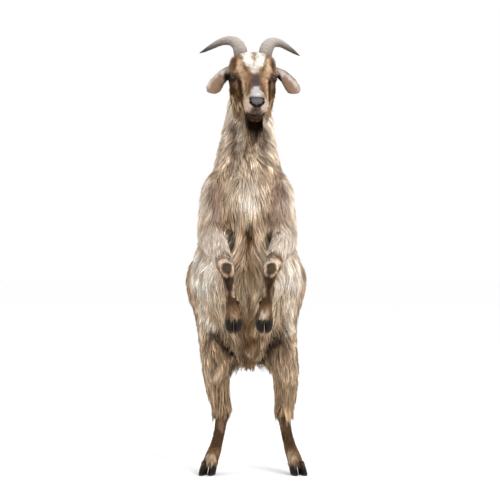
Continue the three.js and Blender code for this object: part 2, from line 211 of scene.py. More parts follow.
def nodes_beneath(points):
    return np.array([owner[frame_tree.find_nearest(p)[2]] for p in points])


def by_part(values):
    """What each part of the body has, as a row for each point of the hide."""
    return np.array([values[kind(n)] for n in flesh], float)[skin_nodes].reshape(len(skin_nodes), -1)


skin_nodes = nodes_beneath(points_of(skin.data))
edges = edges_of(skin.data)
evenness = relaxed(by_part(EVENNESS), edges, 0.5, 20)
depth = relaxed(by_part(COAT_DEPTH_MM) * MM, edges, 0.6, 70)
set_points(skin.data, relaxed(points_of(skin.data), edges, evenness[:, 0], 34))

INSET_STEPS = 8
for _ in range(INSET_STEPS):
    moved = points_of(skin.data) - normals_of(skin.data) * depth / INSET_STEPS
    set_points(skin.data, relaxed(moved, edges, np.minimum(0.5, 20 * depth[:, 0]), 2))
under_long_hair = 0.5 * smooth_step(depth[:, 0] / MM, 6, 15)
set_points(skin.data, relaxed(points_of(skin.data), edges, under_long_hair, 70))

# Where long hair covers the hide it is left coarser than on the head and the lower legs.
coarse = np.clip((depth[:, 0] / MM - 4) / 6, 0, 1)
group = skin.vertex_groups.new(name="coarse")
for level in range(1, 11):
    group.add(np.flatnonzero(np.round(coarse * 10) == level).tolist(), level / 10, "REPLACE")
finish_with(skin, "DECIMATE", ratio=0.435, vertex_group="coarse", vertex_group_factor=1.0)
skin.vertex_groups.clear()

MIDDLE = 9  # where the middle of the body runs, in millimetres along x


def along(path, local):
    """Distance of each point from a line of points, in millimetres."""
    best = np.linalg.norm(local - path[0], axis=1)
    for a, b in zip(path, path[1:]):
        if np.linalg.norm(b - a) > 0.01:
            t = np.clip(((local - a) @ (b - a)) / ((b - a) @ (b - a)), 0, 1)
            best = np.minimum(best, np.linalg.norm(local - a - t[:, None] * (b - a), axis=1))
    return best


def mirrored(path, sign, middle=0):
    return [(middle + p[0] * sign, p[1], p[2]) for p in path]


def drawn_on_hide(path, to_model, from_model):
    """A line divided into short lengths, each point of it moved to the nearest place on the hide."""
    path = np.array(path, float)
    steps = [a + (b - a) * t for a, b in zip(path, path[1:]) for t in np.linspace(0, 1, 6)]
    found = [hide_tree.find_nearest(to_model(*p))[0] for p in (steps or path)]
    return from_model(np.array(found))


def on_both(path, local):
    """Distance on the head from a line drawn on the hide and from its mirror image."""
    lines = [drawn_on_hide(mirrored(path, sign), from_head, on_head) for sign in (-1, 1)]
    return np.minimum(along(lines[0], local), along(lines[1], local))


def from_body(x, y, z):
    return Vector((x, y, z)) * MM


def on_body(points):
    return points / MM


def on_both_sides(path, local):
    """The same on the body, from lines that are drawn from its middle outwards."""
    lines = [drawn_on_hide(mirrored(path, sign, MIDDLE), from_body, on_body) for sign in (-1, 1)]
    return np.minimum(along(lines[0], local), along(lines[1], local))


def divide(piece, wanted):
    """The wanted faces cut in four, on a smooth surface."""
    pick_only(piece)
    bpy.ops.object.mode_set(mode="EDIT")
    bpy.ops.mesh.select_mode(type="FACE")
    bpy.ops.mesh.select_all(action="DESELECT")
    bpy.ops.object.mode_set(mode="OBJECT")
    piece.data.polygons.foreach_set("select", wanted)
    bpy.ops.object.mode_set(mode="EDIT")
    bpy.ops.mesh.subdivide(number_cuts=1)
    bpy.ops.object.mode_set(mode="OBJECT")


# The hide is divided once more over the face, and again round the eyes, the nostrils and the lips.
EYE = {"x": 54, "y": 34, "v": 87, "radius": 14.5}
EYE_LINE = [(EYE["x"], EYE["y"] - 6, EYE["v"]), (EYE["x"] + 4, EYE["y"], EYE["v"])]
NOSTRIL = [(21, 22, 226), (18, 27, 229), (12, 31, 236), (6, 34, 240)]
NOSTRIL_WIDE = [(20, 24, 227.5), (15.5, 29.5, 232.5)]
MOUTH = [(35, 52, 190), (34, 58, 210), (30, 62, 225), (17, 70, 232), (0, 73, 236)]
hide_tree = tree_of(skin)
x, y, v = on_head(rows_of(skin.data.polygons, "center")).T
divide(skin, (np.abs(x) < 76) & (y < 110) & (v > 50))
local = on_head(rows_of(skin.data.polygons, "center"))
near = (on_both(NOSTRIL, local) < 14) | (on_both(MOUTH, local) < 6) | (on_both(EYE_LINE, local) < 26)
divide(skin, near)
edges = edges_of(skin.data)
local = on_head(points_of(skin.data))
face_share = 0.5 * (local[:, 2] > 46) * (np.abs(local[:, 0]) < 78) * (local[:, 1] < 114)
set_points(skin.data, relaxed(points_of(skin.data), edges, face_share, 4))
hide_tree = tree_of(skin)

GAZE = {side: head_way(0.80 * sign, -0.46, 0.36) for side, sign in SIDES.items()}
EYE_CENTRE = {side: from_head(EYE["x"] * sign, EYE["y"], EYE["v"]) for side, sign in SIDES.items()}


def eye_axes(side):
    """Across the open eye towards its inner corner, up across it, and out along the gaze."""
    out = GAZE[side]
    inner = head_way(-0.35 * SIDES[side], -0.12, 1)
    across = (inner - out * inner.dot(out)).normalized()
    up = across.cross(out)
    return across, up if up.z > 0 else -up, out


LID = {"half_turn": 58, "above": 25, "below": 23}  # degrees of the ball that show, from the gaze


def shape_lids(points):
    """The hide drawn over each eye: a rim round the opening, a fold above it and a bag below."""
    for side in SIDES:
        across, up, out = (np.array(a) for a in eye_axes(side))
        centre = np.array(EYE_CENTRE[side])
        reach = (points - centre) / MM
        distance = np.linalg.norm(reach, axis=1)
        near = distance < 40
        way = reach[near] / distance[near, None]
        turn = np.degrees(np.arccos(np.clip(way @ out, -1, 1)))
        s, t = (unit(np.stack([way @ across, way @ up], 1)) * turn[:, None]).T
        height = np.where(t > 0, LID["above"], LID["below"])
        # 1 on the edge of the opening, less over the ball and more away from it.
        e = (np.abs(s / LID["half_turn"]) ** 1.7 + np.abs(t / height) ** 1.9) ** (1 / 1.8)
        r = distance[near]
        ball = EYE["radius"]
        lid = ball + 0.7 + 2.0 * bump(e - 1.1, 0.26) - 1.1 * bump(e - 1.55, 0.16)
        lid += 3.2 * bump(e - 2.1, 0.42) * np.clip(t / 35, 0, 1)
        lid += 1.2 * bump(e - 1.95, 0.3) * np.clip(-t / 35, 0, 1)
        hold = smooth_step(-e, -3.2, -1.9)
        outside = r + (np.maximum(lid, r - 3.0) - r) * hold
        socket = ball - 3.5
        new = socket + (outside - socket) * np.clip((e - 0.9) / 0.12, 0, 1)
        points[near] = centre + way * (np.where(turn > 100, r, new) * MM)[:, None]
    return points


# What is raised on the face, or sunk where it is less than nothing: a line, its width and the millimetres.
FACE_FORMS = [
    ([(17, 19, 228), (10, 24, 237)], 6, 1.6),  # wing of the nostril
    (NOSTRIL, 2.3, -5.0),
    (NOSTRIL_WIDE, 3.8, -4.5),
    ([(20, 33, 229), (10, 39, 237)], 5, 1.4),
    ([(14, 86, 222), (0, 88, 224)], 13, 8.0),  # chin
    ([(16, 13, 226), (0, 11, 228)], 3, -1.0),  # edge of the nose pad
    (MOUTH, 1.7, -4.2),
    ([(30, 55, 224), (14, 60, 236), (0, 62, 239)], 5, 1.6),  # upper lip
    ([(26, 72, 222), (12, 80, 228), (0, 82, 230)], 5, 1.8),  # lower lip
    ([(30, 42, 215), (26, 44, 226)], 12, 3.5),  # whisker pad
    ([(49, 72, 105), (47, 80, 140)], 26, 7.5),  # cheek
    ([(58, 30, 40), (60, 60, 70), (56, 90, 80)], 24, 3.2),
    ([(52, 46, 118), (40, 44, 176)], 5, 1.6),  # ridge under the eye
    ([(41, 22, 128), (33, 24, 180)], 13, -3.5),  # hollow of the face
    ([(50, 22, 110), (42, 18, 134)], 4, -1.6),  # tear furrow
    ([(44, 1, 72), (60, 14, 70)], 10, 3.2),  # brow
    ([(57, 6, 14), (62, 22, 28)], 18, 5.0),  # side of the crown
    ([(0, -10, 24), (20, -9, 26)], 14, 3.5),
    ([(26, -9, 22), (38, -7, 27), (50, -1, 22)], 12, 9.5),  # boss before the horn
    ([(0, 0, 100), (0, 3, 196)], 13, 1.6),  # bridge of the nose
    ([(0, -8, 30), (0, -6, 60)], 16, 1.5),
    ([(52, 98, 60), (56, 104, 110)], 14, 2.5),  # angle of the jaw
]
PHILTRUM = [(0, 38, 240), (0, 62, 238)]


def shape_face(points, normals):
    local = on_head(points)
    rise = -1.8 * bump(on_both(PHILTRUM, local), 1.7)
    for path, width, height in FACE_FORMS:
        rise += height * bump(on_both(path, local), width)
    return points + normals * (rise * MM)[:, None]


set_points(skin.data, shape_face(points_of(skin.data), normals_of(skin.data)))
set_points(skin.data, shape_lids(points_of(skin.data)))
hide_tree = tree_of(skin)

# The markings of hide and coat, with painted shade in some creases and hollows: a ground colour for each
# part, and patches over it. Colours are as the eye reads them, from 0 to 255.
GROUND = {
    "head": (128, 98, 68), "ear": (132, 106, 87), "neck": (196, 175, 154), "chest": (178, 155, 130),
    "abdomen": (172, 150, 125), "rump": (168, 144, 118), "tail": (150, 124, 98), "thigh": (143, 120, 96),
    "gaskin": (145, 121, 96), "upper_arm": (170, 146, 124), "forearm": (208, 192, 176),
    "cannon": (72, 52, 34), "pastern": (116, 88, 62),
}


def paint(colour):
    c = np.array(colour) / 255
    return np.where(c > 0.04045, ((c + 0.055) / 1.055) ** 2.4, c / 12.92)


def ripple(points, size, seed, waves=14):
    """A smooth random field of about unit spread, whose swells are so far apart in metres."""
    random = np.random.default_rng(seed)
    way = random.normal(size=(waves, 3)) * (2 * math.pi / size) / 1.7
    phase = random.uniform(0, 2 * math.pi, waves)
    return np.sin(points @ way.T + phase).sum(1) / math.sqrt(waves / 2)


# Patches on the head: a line in its own frame, half width, softness, colour and strength. Each is on both
# sides of the face.
HEAD_PATCHES = [
    ([(50, 30, 125), (56, 66, 105), (54, 92, 90)], 29, 9, (58, 34, 14), 0.97),  # cheek
    ([(44, 60, 160), (40, 78, 185)], 24, 8, (62, 39, 19), 0.97),
    ([(42, 96, 170), (48, 102, 130), (52, 106, 80)], 13, 6, (108, 78, 50), 0.95),  # fringe of the jaw
    ([(57, 38, 106), (54, 36, 124)], 9, 5, (128, 98, 76), 0.85),  # under the eye
    ([(45, 3, 44), (45, 8, 72), (38, 9, 104)], 9, 5, (190, 160, 131), 0.95),  # forehead
    ([(34, 8, 100), (32, 12, 132)], 8, 5, (164, 136, 108), 0.9),
    ([(27, 9, 132), (25, 12, 168), (24, 14, 196)], 8, 5, (152, 116, 82), 0.9),
    ([(20, 6, 160), (22, 9, 190), (24, 12, 206)], 3, 2, (74, 52, 42), 0.85),
    ([(39, 19, 122), (37, 23, 150), (33, 28, 185), (32, 28, 206)], 4, 2.5, (206, 178, 148), 0.97),
    ([(50, 27, 110), (46, 30, 130), (43, 38, 156), (40, 46, 176)], 5, 2.2, (34, 23, 15), 1.0),
    ([(2, 2, 112), (0, 2, 124)], 5, 6, (96, 82, 82), 0.8),
    ([(0, 3, 134), (0, 4, 152)], 14.5, 5, (84, 70, 73), 0.95),  # bridge of the nose
    ([(0, 4, 152), (0, 5, 176)], 10.5, 5, (82, 68, 70), 0.94),
    ([(0, 5, 190), (2, 8, 204)], 10, 4, (196, 192, 192), 0.97),
    ([(9, 11, 210), (2, 12, 220)], 11, 4, (198, 192, 190), 0.95),
    ([(18, -10, 8), (19, -7, 40), (17, -4, 64)], 14, 4, (240, 234, 222), 0.98),  # forelock
    ([(6, -4, 70), (4, -2, 82)], 12, 5, (214, 206, 194), 0.95),
    ([(4, 0, 84), (3, 1, 100)], 8, 5, (212, 203, 190), 0.93),
    ([(2, 1, 100), (0, 1, 112)], 4, 4, (206, 196, 182), 0.85),
    ([(30, -2, 58), (29, -1, 74), (24, 2, 98)], 3, 2.5, (96, 72, 48), 0.8),
    ([(0, -10, 18), (1, -8, 56)], 2.2, 2.5, (196, 170, 148), 0.55),
    ([(56, 6, 40), (61, 14, 62)], 9, 5, (70, 48, 34), 0.9),  # temple
    ([(27, 28, 226), (29, 46, 224), (26, 54, 222)], 12, 5, (198, 178, 162), 0.95),  # muzzle
    ([(26, 52, 224), (20, 62, 228)], 9, 5, (182, 160, 146), 0.95),
    ([(34, 48, 204), (34, 56, 216)], 7, 5, (196, 176, 160), 0.9),
    ([(20, 40, 236), (18, 50, 237)], 7, 4, (194, 176, 163), 0.9),
    ([(7, 50, 240), (0, 50, 241)], 8, 5, (74, 65, 61), 0.93),  # upper lip
    ([(10, 60, 236), (0, 63, 238)], 8, 5, (78, 66, 58), 0.95),
    ([(16, 80, 226), (0, 84, 228)], 14, 6, (46, 32, 18), 1.0),  # chin
    ([(18, 94, 212), (0, 98, 208)], 15, 6, (40, 27, 15), 1.0),
    ([(10, 96, 190), (0, 104, 150)], 26, 10, (52, 38, 26), 0.9),  # throat
    ([(13, 17, 228), (0, 16, 229)], 6.5, 1.6, (82, 76, 76), 1.0),  # nose pad
    ([(11, 24, 236), (0, 25, 240)], 8, 1.6, (84, 79, 80), 1.0),
    ([(6, 20, 234), (0, 20, 235)], 7, 1.6, (94, 88, 88), 1.0),
    # The foot of the nose pad, the philtrum, the nostrils and the mouth line are painted nearly black:
    # painted shade under the pad and in its grooves and slits.
    ([(8, 33, 240), (0, 36, 242)], 6, 1.8, (30, 28, 31), 1.0),
    (PHILTRUM, 2, 1.6, (30, 24, 22), 0.9),
    (NOSTRIL, 4.4, 1.4, (7, 5, 5), 1.0),
    (NOSTRIL_WIDE, 5.0, 1.2, (8, 6, 6), 1.0),
    (MOUTH, 2.2, 1.2, (16, 10, 8), 1.0),
    ([(62, 26, 90), (63, 31, 99)], 11.5, 4, (28, 19, 13), 0.97),  # round the eye
    ([(64, 24, 80), (58, 18, 82), (52, 13, 79)], 4, 3, (156, 136, 116), 0.9),
    # The hollow under the root of the ear is painted nearly black: painted shade.
    ([(66, 40, 78), (72, 56, 60)], 13, 5, (20, 14, 10), 1.0),  # ear passage
    ([(71, 46, 50), (78, 57, 56), (72, 58, 72)], 7, 3, (16, 11, 8), 1.0),
    ([(84, 45, 30), (104, 50, 42), (124, 60, 60), (138, 72, 82)], 5, 5, (206, 194, 184), 0.8),  # ear edge
    ([(104, 80, 96), (92, 70, 76)], 6, 6, (104, 82, 66), 0.7),
    ([(74, 43, 34), (88, 46, 42)], 9, 5, (178, 165, 158), 0.9),
    ([(76, 42, 36), (84, 48, 48), (93, 50, 54)], 3.5, 2.5, (84, 72, 68), 0.85),
    ([(88, 45, 38), (90, 50, 50)], 2.5, 2.5, (198, 186, 177), 0.8),
    # painted shade in the hollow under the root of the ear
    ([(78, 54, 50), (73, 62, 58), (68, 60, 74)], 8, 3, (14, 10, 8), 1.0),
]


def over(colours, colour, share):
    return colours + (paint(colour) - colours) * share[:, None]


def edge_share(distance, wide, soft):
    """1 within a patch, 0 outside it, and between the two across its soft edge."""
    return 1 / (1 + np.exp(np.clip((distance - wide) * 2.2 / soft, -50, 50)))


def mark_head(points, colours, on_the_head):
    local = on_head(points)
    wobble = ripple(points, 0.012, 5) * 0.36 + ripple(points, 0.005, 6) * 0.2
    for path, wide, soft, colour, strength in HEAD_PATCHES:
        share = edge_share(on_both(path, local) + wobble * soft, wide, soft)
        colours = over(colours, colour, share * strength * on_the_head)
    return colours


# Patches on the body: a line in millimetres, half width, softness, colour and strength. Each is on both
# sides, and its line's first number is how far out from the middle it is.
PAD_TOP = [(44, -314, 636), (47, -306, 653), (62, -306, 660), (78, -302, 653), (81, -308, 636)]
PAD_FOOT = [(81, -308, 636), (74, -314, 622), (62, -318, 616), (50, -314, 622), (44, -314, 636)]
BODY_PATCHES = [
    ([(0, -80, 1070), (0, -110, 1010), (0, -140, 950)], 24, 12, (160, 135, 109), 0.8),  # neck
    ([(54, -74, 1044), (52, -92, 1002), (54, -138, 928)], 9, 7, (74, 55, 43), 0.9),
    ([(72, -20, 1120), (78, -30, 1010)], 15, 12, (220, 205, 188), 0.8),
    ([(28, -70, 1080), (30, -110, 990)], 5, 5, (214, 196, 174), 0.7),
    ([(0, -150, 930), (0, -172, 885)], 36, 20, (180, 160, 139), 0.8),  # breast
    ([(26, -180, 860), (0, -196, 815)], 24, 18, (190, 176, 159), 0.85),
    ([(0, -200, 812), (0, -200, 796)], 11, 9, (232, 222, 210), 0.9),
    ([(0, -197, 776), (0, -195, 762)], 15, 8, (222, 198, 170), 0.92),
    ([(14, -191, 750), (16, -186, 680)], 9, 5, (148, 113, 78), 0.92),
    ([(36, -185, 730), (38, -180, 665)], 12, 7, (206, 184, 160), 0.9),
    # The cleft between the halves of the breast is painted nearly black: painted shade in the crease.
    ([(0, -195, 760), (0, -193, 738)], 10, 4, (14, 7, 3), 1.0),  # cleft
    ([(0, -192, 738), (0, -184, 665)], 4.5, 3, (34, 19, 7), 0.97),
    # The armpits are painted dark brown: painted shade in the hollows between the forelegs and the chest.
    ([(58, -175, 735), (56, -170, 695)], 12, 6, (36, 22, 11), 0.97),  # armpits
    ([(44, -188, 778), (88, -182, 768)], 12, 9, (92, 68, 47), 0.85),
    ([(138, -120, 880), (136, -150, 790)], 17, 12, (242, 226, 208), 0.9),  # shoulders
    ([(92, -150, 880), (98, -180, 795)], 16, 12, (130, 104, 90), 0.8),
    ([(130, -150, 770), (120, -140, 700)], 22, 16, (206, 190, 172), 0.8),
    ([(92, -290, 665), (84, -300, 650)], 12, 8, (172, 144, 116), 0.8),  # knees
    ([(88, -283, 662), (78, -288, 676), (62, -280, 685), (46, -280, 678)], 6, 4, (96, 71, 49), 0.97),
    ([(62, -311, 608), (62, -299, 576), (63, -288, 547)], 9, 4, (40, 28, 20), 0.92),  # cannons
    ([(46, -300, 618), (47, -292, 560)], 3.5, 3, (198, 172, 146), 0.6),
    (PAD_TOP, 6, 3, (240, 214, 190), 0.97),
    (PAD_FOOT, 4.5, 3, (206, 176, 148), 0.9),
    ([(62, -322, 637), (62, -321, 644)], 10.5, 2.5, (66, 54, 43), 1.0),
    ([(58, -320, 624), (56, -316, 610)], 4.5, 3, (44, 32, 23), 0.9),
    ([(79, -300, 605), (77, -290, 545)], 5, 4, (150, 120, 92), 0.7),
    ([(36, -296, 512), (45, -298, 499), (54, -296, 512)], 5, 4, (214, 196, 178), 0.9),  # coronets
    ([(0, -178, 640), (0, -168, 572)], 32, 16, (124, 99, 73), 0.85),  # belly
    ([(0, -165, 560), (0, -140, 495)], 30, 16, (166, 144, 118), 0.8),
    ([(0, -165, 545), (0, -130, 470)], 2.5, 4, (100, 80, 61), 0.7),
    ([(96, -120, 575), (100, -112, 515)], 26, 18, (166, 148, 127), 0.8),
    ([(140, -95, 630), (124, -105, 600), (150, -50, 560)], 28, 26, (220, 211, 199), 0.9),  # flanks
    ([(168, -40, 660), (174, -20, 600)], 18, 14, (236, 228, 219), 0.93),
    ([(176, 0, 600), (168, 10, 545)], 14, 10, (200, 178, 158), 0.8),  # haunches
    ([(160, -20, 560), (158, -10, 515)], 10, 8, (150, 124, 104), 0.5),
    ([(0, -130, 480), (0, -100, 455)], 34, 14, (90, 67, 44), 0.88),  # groin
    ([(0, -70, 436), (0, -35, 395)], 34, 14, (84, 61, 38), 0.92),
    ([(0, 5, 368), (0, 30, 352)], 34, 12, (88, 64, 40), 0.9),
    # The insides of the thighs are painted dark, and the fold between belly and thigh nearly black: painted
    # shade.
    ([(87, -50, 416), (69, -26, 391), (55, 5, 367)], 19, 10, (60, 42, 25), 0.95),
    ([(108, -58, 436), (83, -46, 409), (60, -12, 382), (37, 30, 355)], 9, 4, (26, 16, 8), 1.0),
    ([(0, -58, 416)], 7, 5, (34, 20, 10), 0.9),
    ([(0, -28, 388), (0, -10, 376)], 5, 5, (176, 154, 130), 0.8),
    ([(142, -10, 410), (140, 0, 300)], 20, 14, (190, 168, 143), 0.75),
    ([(150, -50, 500), (144, -40, 450)], 20, 14, (222, 208, 190), 0.85),
    ([(108, 45, 215), (106, 52, 160), (112, 38, 100)], 8, 6, (84, 62, 44), 0.6),  # hind cannons
    ([(88, 62, 190), (84, 60, 130)], 7, 5, (142, 114, 88), 0.6),
    ([(110, 4, 58), (124, 8, 50), (140, 4, 58)], 6, 6, (196, 172, 148), 0.7),
]


def mark_body(points, colours, on_the_body):
    local = on_body(points)
    wobble = ripple(points, 0.045, 9) * 0.5
    for path, wide, soft, colour, strength in BODY_PATCHES:
        share = edge_share(on_both_sides(path, local) + wobble * soft, wide, soft)
        colours = over(colours, colour, share * strength * on_the_body)
    return colours


points = points_of(skin.data)
skin_nodes = nodes_beneath(points)
edges = edges_of(skin.data)
ground = relaxed(by_part({part: paint(colour) for part, colour in GROUND.items()}), edges, 0.5, 24)
of_head = by_part({part: part in ("head", "ear") for part in GROUND})
head_share = relaxed(of_head, edges, 0.5, 6)[:, 0]
body_share = relaxed(1 - of_head, edges, 0.5, 6)[:, 0]
depth = relaxed(by_part(COAT_DEPTH_MM) * MM, edges, 0.6, 70)[:, 0]
hair_colours = mark_head(points, mark_body(points, ground, body_share), head_share)
# The hide is painted darker than the hair that stands on it: painted shade under the coat.
HIDE_PAINTED_SHADE = 0.8  # how bright the hide is, as a share of the hair that stands on it


def colour_attribute(mesh, colours):
    layer = mesh.color_attributes.new("MarkingsAndPaintedShading", "FLOAT_COLOR", "POINT")
    layer.data.foreach_set("color", np.column_stack([colours, np.ones(len(colours))]).ravel())


def shaded_smooth(mesh):
    mesh.polygons.foreach_set("use_smooth", np.ones(len(mesh.polygons), bool))


colour_attribute(skin.data, hair_colours * HIDE_PAINTED_SHADE)
shaded_smooth(skin.data)


def new_material(name, roughness, **settings):
    material = bpy.data.materials.new(name)
    material.use_nodes = True
    shader = material.node_tree.nodes["Principled BSDF"]
    shader.inputs["Roughness"].default_value = roughness
    for key, value in settings.items():
        shader.inputs[key.replace("_", " ")].default_value = value
    return material, material.node_tree.nodes, material.node_tree.links, shader


def drawn_out_noise(nodes, links, place, stretch, scale, detail):
    """A noise read at a place that is scaled, so that its swells are long where the scale is small."""
    mapping = nodes.new("ShaderNodeMapping")
    mapping.inputs["Scale"].default_value = stretch
    noise = nodes.new("ShaderNodeTexNoise")
    noise.inputs["Scale"].default_value = scale
    noise.inputs["Detail"].default_value = detail
    links.new(place, mapping.inputs["Vector"])
    links.new(mapping.outputs["Vector"], noise.inputs["Vector"])
    return noise.outputs["Fac"]


def colour_by_markings_and_shading(nodes, links, shader, grain, tones, spread=(0, 1)):
    """The markings, with the light and shade painted into them, as the shader's colour, between two tones of
    it as the grain says.
    """
    marks = nodes.new("ShaderNodeAttribute")
    marks.attribute_name = "MarkingsAndPaintedShading"
    tone = nodes.new("ShaderNodeMapRange")
    for name, value in zip(("From Min", "From Max", "To Min", "To Max"), spread + tones):
        tone.inputs[name].default_value = value
    blend = nodes.new("ShaderNodeVectorMath")
    blend.operation = "SCALE"
    links.new(grain, tone.inputs["Value"])
    links.new(marks.outputs["Color"], blend.inputs[0])
    links.new(tone.outputs["Result"], blend.inputs["Scale"])
    links.new(blend.outputs["Vector"], shader.inputs["Base Color"])


def raise_grain(nodes, links, shader, grain, strength, height):
    relief = nodes.new("ShaderNodeBump")
    relief.inputs["Strength"].default_value = strength
    relief.inputs["Distance"].default_value = height
    links.new(grain, relief.inputs["Height"])
    links.new(relief.outputs["Normal"], shader.inputs["Normal"])


hide, nodes, links, shader = new_material("short hair over hide", 0.62, Specular_IOR_Level=0.12)
place = nodes.new("ShaderNodeTexCoord").outputs["Object"]
grain = drawn_out_noise(nodes, links, place, (1, 1, 0.28), 420, 3)
colour_by_markings_and_shading(nodes, links, shader, grain, (0.8, 1.5))
raise_grain(nodes, links, shader, grain, 0.5, 1.2 * MM)
skin.data.materials.append(hide)

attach(skin, "root")
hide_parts(*flesh)

# ---------------------------------------------------------------- coat
# The hair grows in locks that lie along the body from head to tail and down the legs, wavy and gathered in
# tufts on the trunk, short and flat on the face, ears and shanks. Each lock is a thin closed spike laid over
# the hide step by step and carries the hide's markings. It is painted dark at its root and a little brighter
# at its tip: painted shade deep in the coat and painted light at its surface.
WAYS = {"tail": Vector((0, 0.64, 0.77)), "head": Vector((0, 0.25, -1))}
for side, sign in SIDES.items():
    WAYS["ear_" + side] = head_way(72 * sign, -39, 78)
    WAYS[f"fore_{side}_forearm"] = Vector((-0.42 * sign, -0.7, -0.65))
    WAYS[f"fore_{side}_upper_arm"] = Vector((0.22 * sign, -0.1, -1))
    WAYS[f"hind_{side}_thigh"] = Vector((0.12 * sign, 0.12, -1))
    WAYS[f"hind_{side}_gaskin"] = Vector((0.06 * sign, 0.16, -1))
DOWN = Vector((0, 0.18, -1))


def lie_of_coat(points, normals, node_numbers, edges):
    """The way that the hair lies at each point of the hide."""
    ways = np.array([WAYS.get(node, DOWN).normalized() for node in flesh])[node_numbers]
    on_tail = node_numbers == flesh.index("tail")
    ways = relaxed(ways, edges, 0.5, 30)
    ways[on_tail] = WAYS["tail"]
    x, y, z = on_body(points).T
    across = np.clip((x - MIDDLE) / 25, -1, 1)
    front = smooth_step(-y, 60, 110) * (np.abs(x - MIDDLE) < 130)
    breast = front * smooth_step(z, 760, 800) * smooth_step(-z, -960, -900)
    cleft = front * smooth_step(z, 590, 640) * smooth_step(-z, -770, -740)
    belly = front * smooth_step(z, 420, 460) * smooth_step(-z, -600, -560)
    ways[:, 0] += across * (-0.22 * breast + 0.5 * cleft - 0.75 * belly)
    ways = tangent(ways, normals)
    swirl = 0.16 * smooth_step(depth / MM, 3, 18) + 0.05
    angle = swirl * ripple(points, 0.11, 21) + 0.5 * swirl * ripple(points, 0.045, 22)
    sideways = np.cross(normals, ways)
    return ways * np.cos(angle)[:, None] + sideways * np.sin(angle)[:, None]


# Where the hair is longer or shorter than the depth of the coat asks for: the frame, a line, half width,
# softness, millimetres added, and how far it hangs free.
LONGER = [
    ("head", [(34, 106, 180), (44, 110, 120), (52, 108, 80)], 12, 6, 16, 0.6),  # jaw
    ("head", [(74, 54, 62), (74, 60, 76)], 8, 4, 13, 0.7),  # below the ear passage
    ("head", [(14, -12, 12), (16, -8, 50)], 14, 5, 11, 0.2),  # forelock
    ("head", [(0, -8, 40), (0, -4, 90)], 9, 5, 6, 0.1),
    ("body", [(66, -34, 1186), (73, -30, 1110)], 26, 10, 12, 0.6),  # neck behind the cheeks
    ("body", [(98, -44, 940), (116, -64, 884), (128, -90, 842)], 18, 8, 16, 0.6),  # shoulders
    ("head", [(48, 20, -8), (30, 60, 4), (0, 70, 10)], 20, 10, 14, 0.1),  # crown
    ("body", [(0, -205, 810), (0, -205, 785)], 26, 12, 8, 0.2),  # breast
    ("body", [(96, 60, 260), (90, 100, 240)], 52, 16, 22, 0.85),  # hocks
    ("body", [(108, -56, 440), (83, -46, 414), (60, -12, 387), (37, 30, 360)], 15, 7, -40, 0),  # groin
    ("body", [(20, 40, 350), (52, 30, 345)], 16, 8, 16, 0.9),
    ("body", [(108, -150, 720)], 40, 16, 10, 0.6),  # elbows
    ("body", [(122, -200, 730), (100, -250, 700)], 36, 14, 14, 0.1),  # forearms
    ("body", [(0, -193, 768), (0, -190, 738)], 12, 4, -40, 0),  # cleft of the breast
    ("body", [(0, -190, 738), (0, -184, 665)], 4, 3, -30, 0),
    ("body", [(56, -172, 740), (56, -168, 700)], 10, 6, -30, 0),  # armpits
    ("body", [(128, 20, 262), (132, 30, 238)], 26, 12, 30, 0.9),
    ("body", [(132, 8, 335), (131, 20, 290)], 20, 10, 12, 0.6),
    ("body", [(30, -290, 520), (60, -292, 518)], 18, 6, 17, 0.5),  # coronets
    ("body", [(104, 0, 62), (146, 0, 62)], 24, 6, 15, 0.4),
    ("body", [(0, -197, 792), (0, -193, 766)], 9, 5, -22, 0),
    ("body", [(15, 272, 586), (15, 292, 622)], 26, 6, 14, 0.0),  # tail
]
BALD = [
    ("head", [(8, 22, 238), (0, 20, 240), (8, 30, 243), (0, 32, 245)], 11, 2),
    ("head", NOSTRIL, 5, 1),
    ("head", NOSTRIL_WIDE, 7, 1),
    ("head", [(13, 17, 228), (0, 16, 229)], 6, 1),
    ("head", [(0, 34, 245), (0, 56, 243)], 3, 1.5),
    ("head", MOUTH, 2, 1),
    ("head", [(53.5, 30, 87), (50, 30, 97)], 12, 2),
    ("head", [(36, -10, -8)], 16, 2),
    ("body", [(62.5, -322, 641)], 12, 1.5),
]


def on_line(points, frame_name, path):
    """Distance in millimetres from a line that is on both sides of the head or of the body."""
    if frame_name == "head":
        return on_both(path, on_head(points))
    return on_both_sides(path, on_body(points))


skin.data.calc_loop_triangles()
triangles = rows_of(skin.data.loop_triangles, "vertices", 3, np.int32)
skin_points, skin_normals = points_of(skin.data), normals_of(skin.data)
skin_lie = lie_of_coat(skin_points, skin_normals, skin_nodes, edges)
skin_room = np.array([outline_tree.find_nearest(p)[3] for p in skin_points.tolist()])
skin_length = 2.6 * depth
skin_free = 0.25 * smooth_step(depth / MM, 8, 20)
for frame_name, path, wide, soft, more, free in LONGER:
    share = edge_share(on_line(skin_points, frame_name, path), wide, soft)
    skin_length = np.maximum(skin_length + share * more * MM, np.minimum(skin_length, 9 * MM))
    skin_free = np.maximum(skin_free, share * free)
    if more < 0:
        skin_room *= 1 - 0.85 * share
corner_sides = skin_points[triangles]
face_area = np.linalg.norm(
    np.cross(corner_sides[:, 1] - corner_sides[:, 0], corner_sides[:, 2] - corner_sides[:, 0]), axis=1
) / 2
face_normal = unit(skin_normals[triangles].mean(1))
face_lie = unit(skin_lie[triangles].mean(1))
face_node = skin_nodes[triangles[:, 0]]

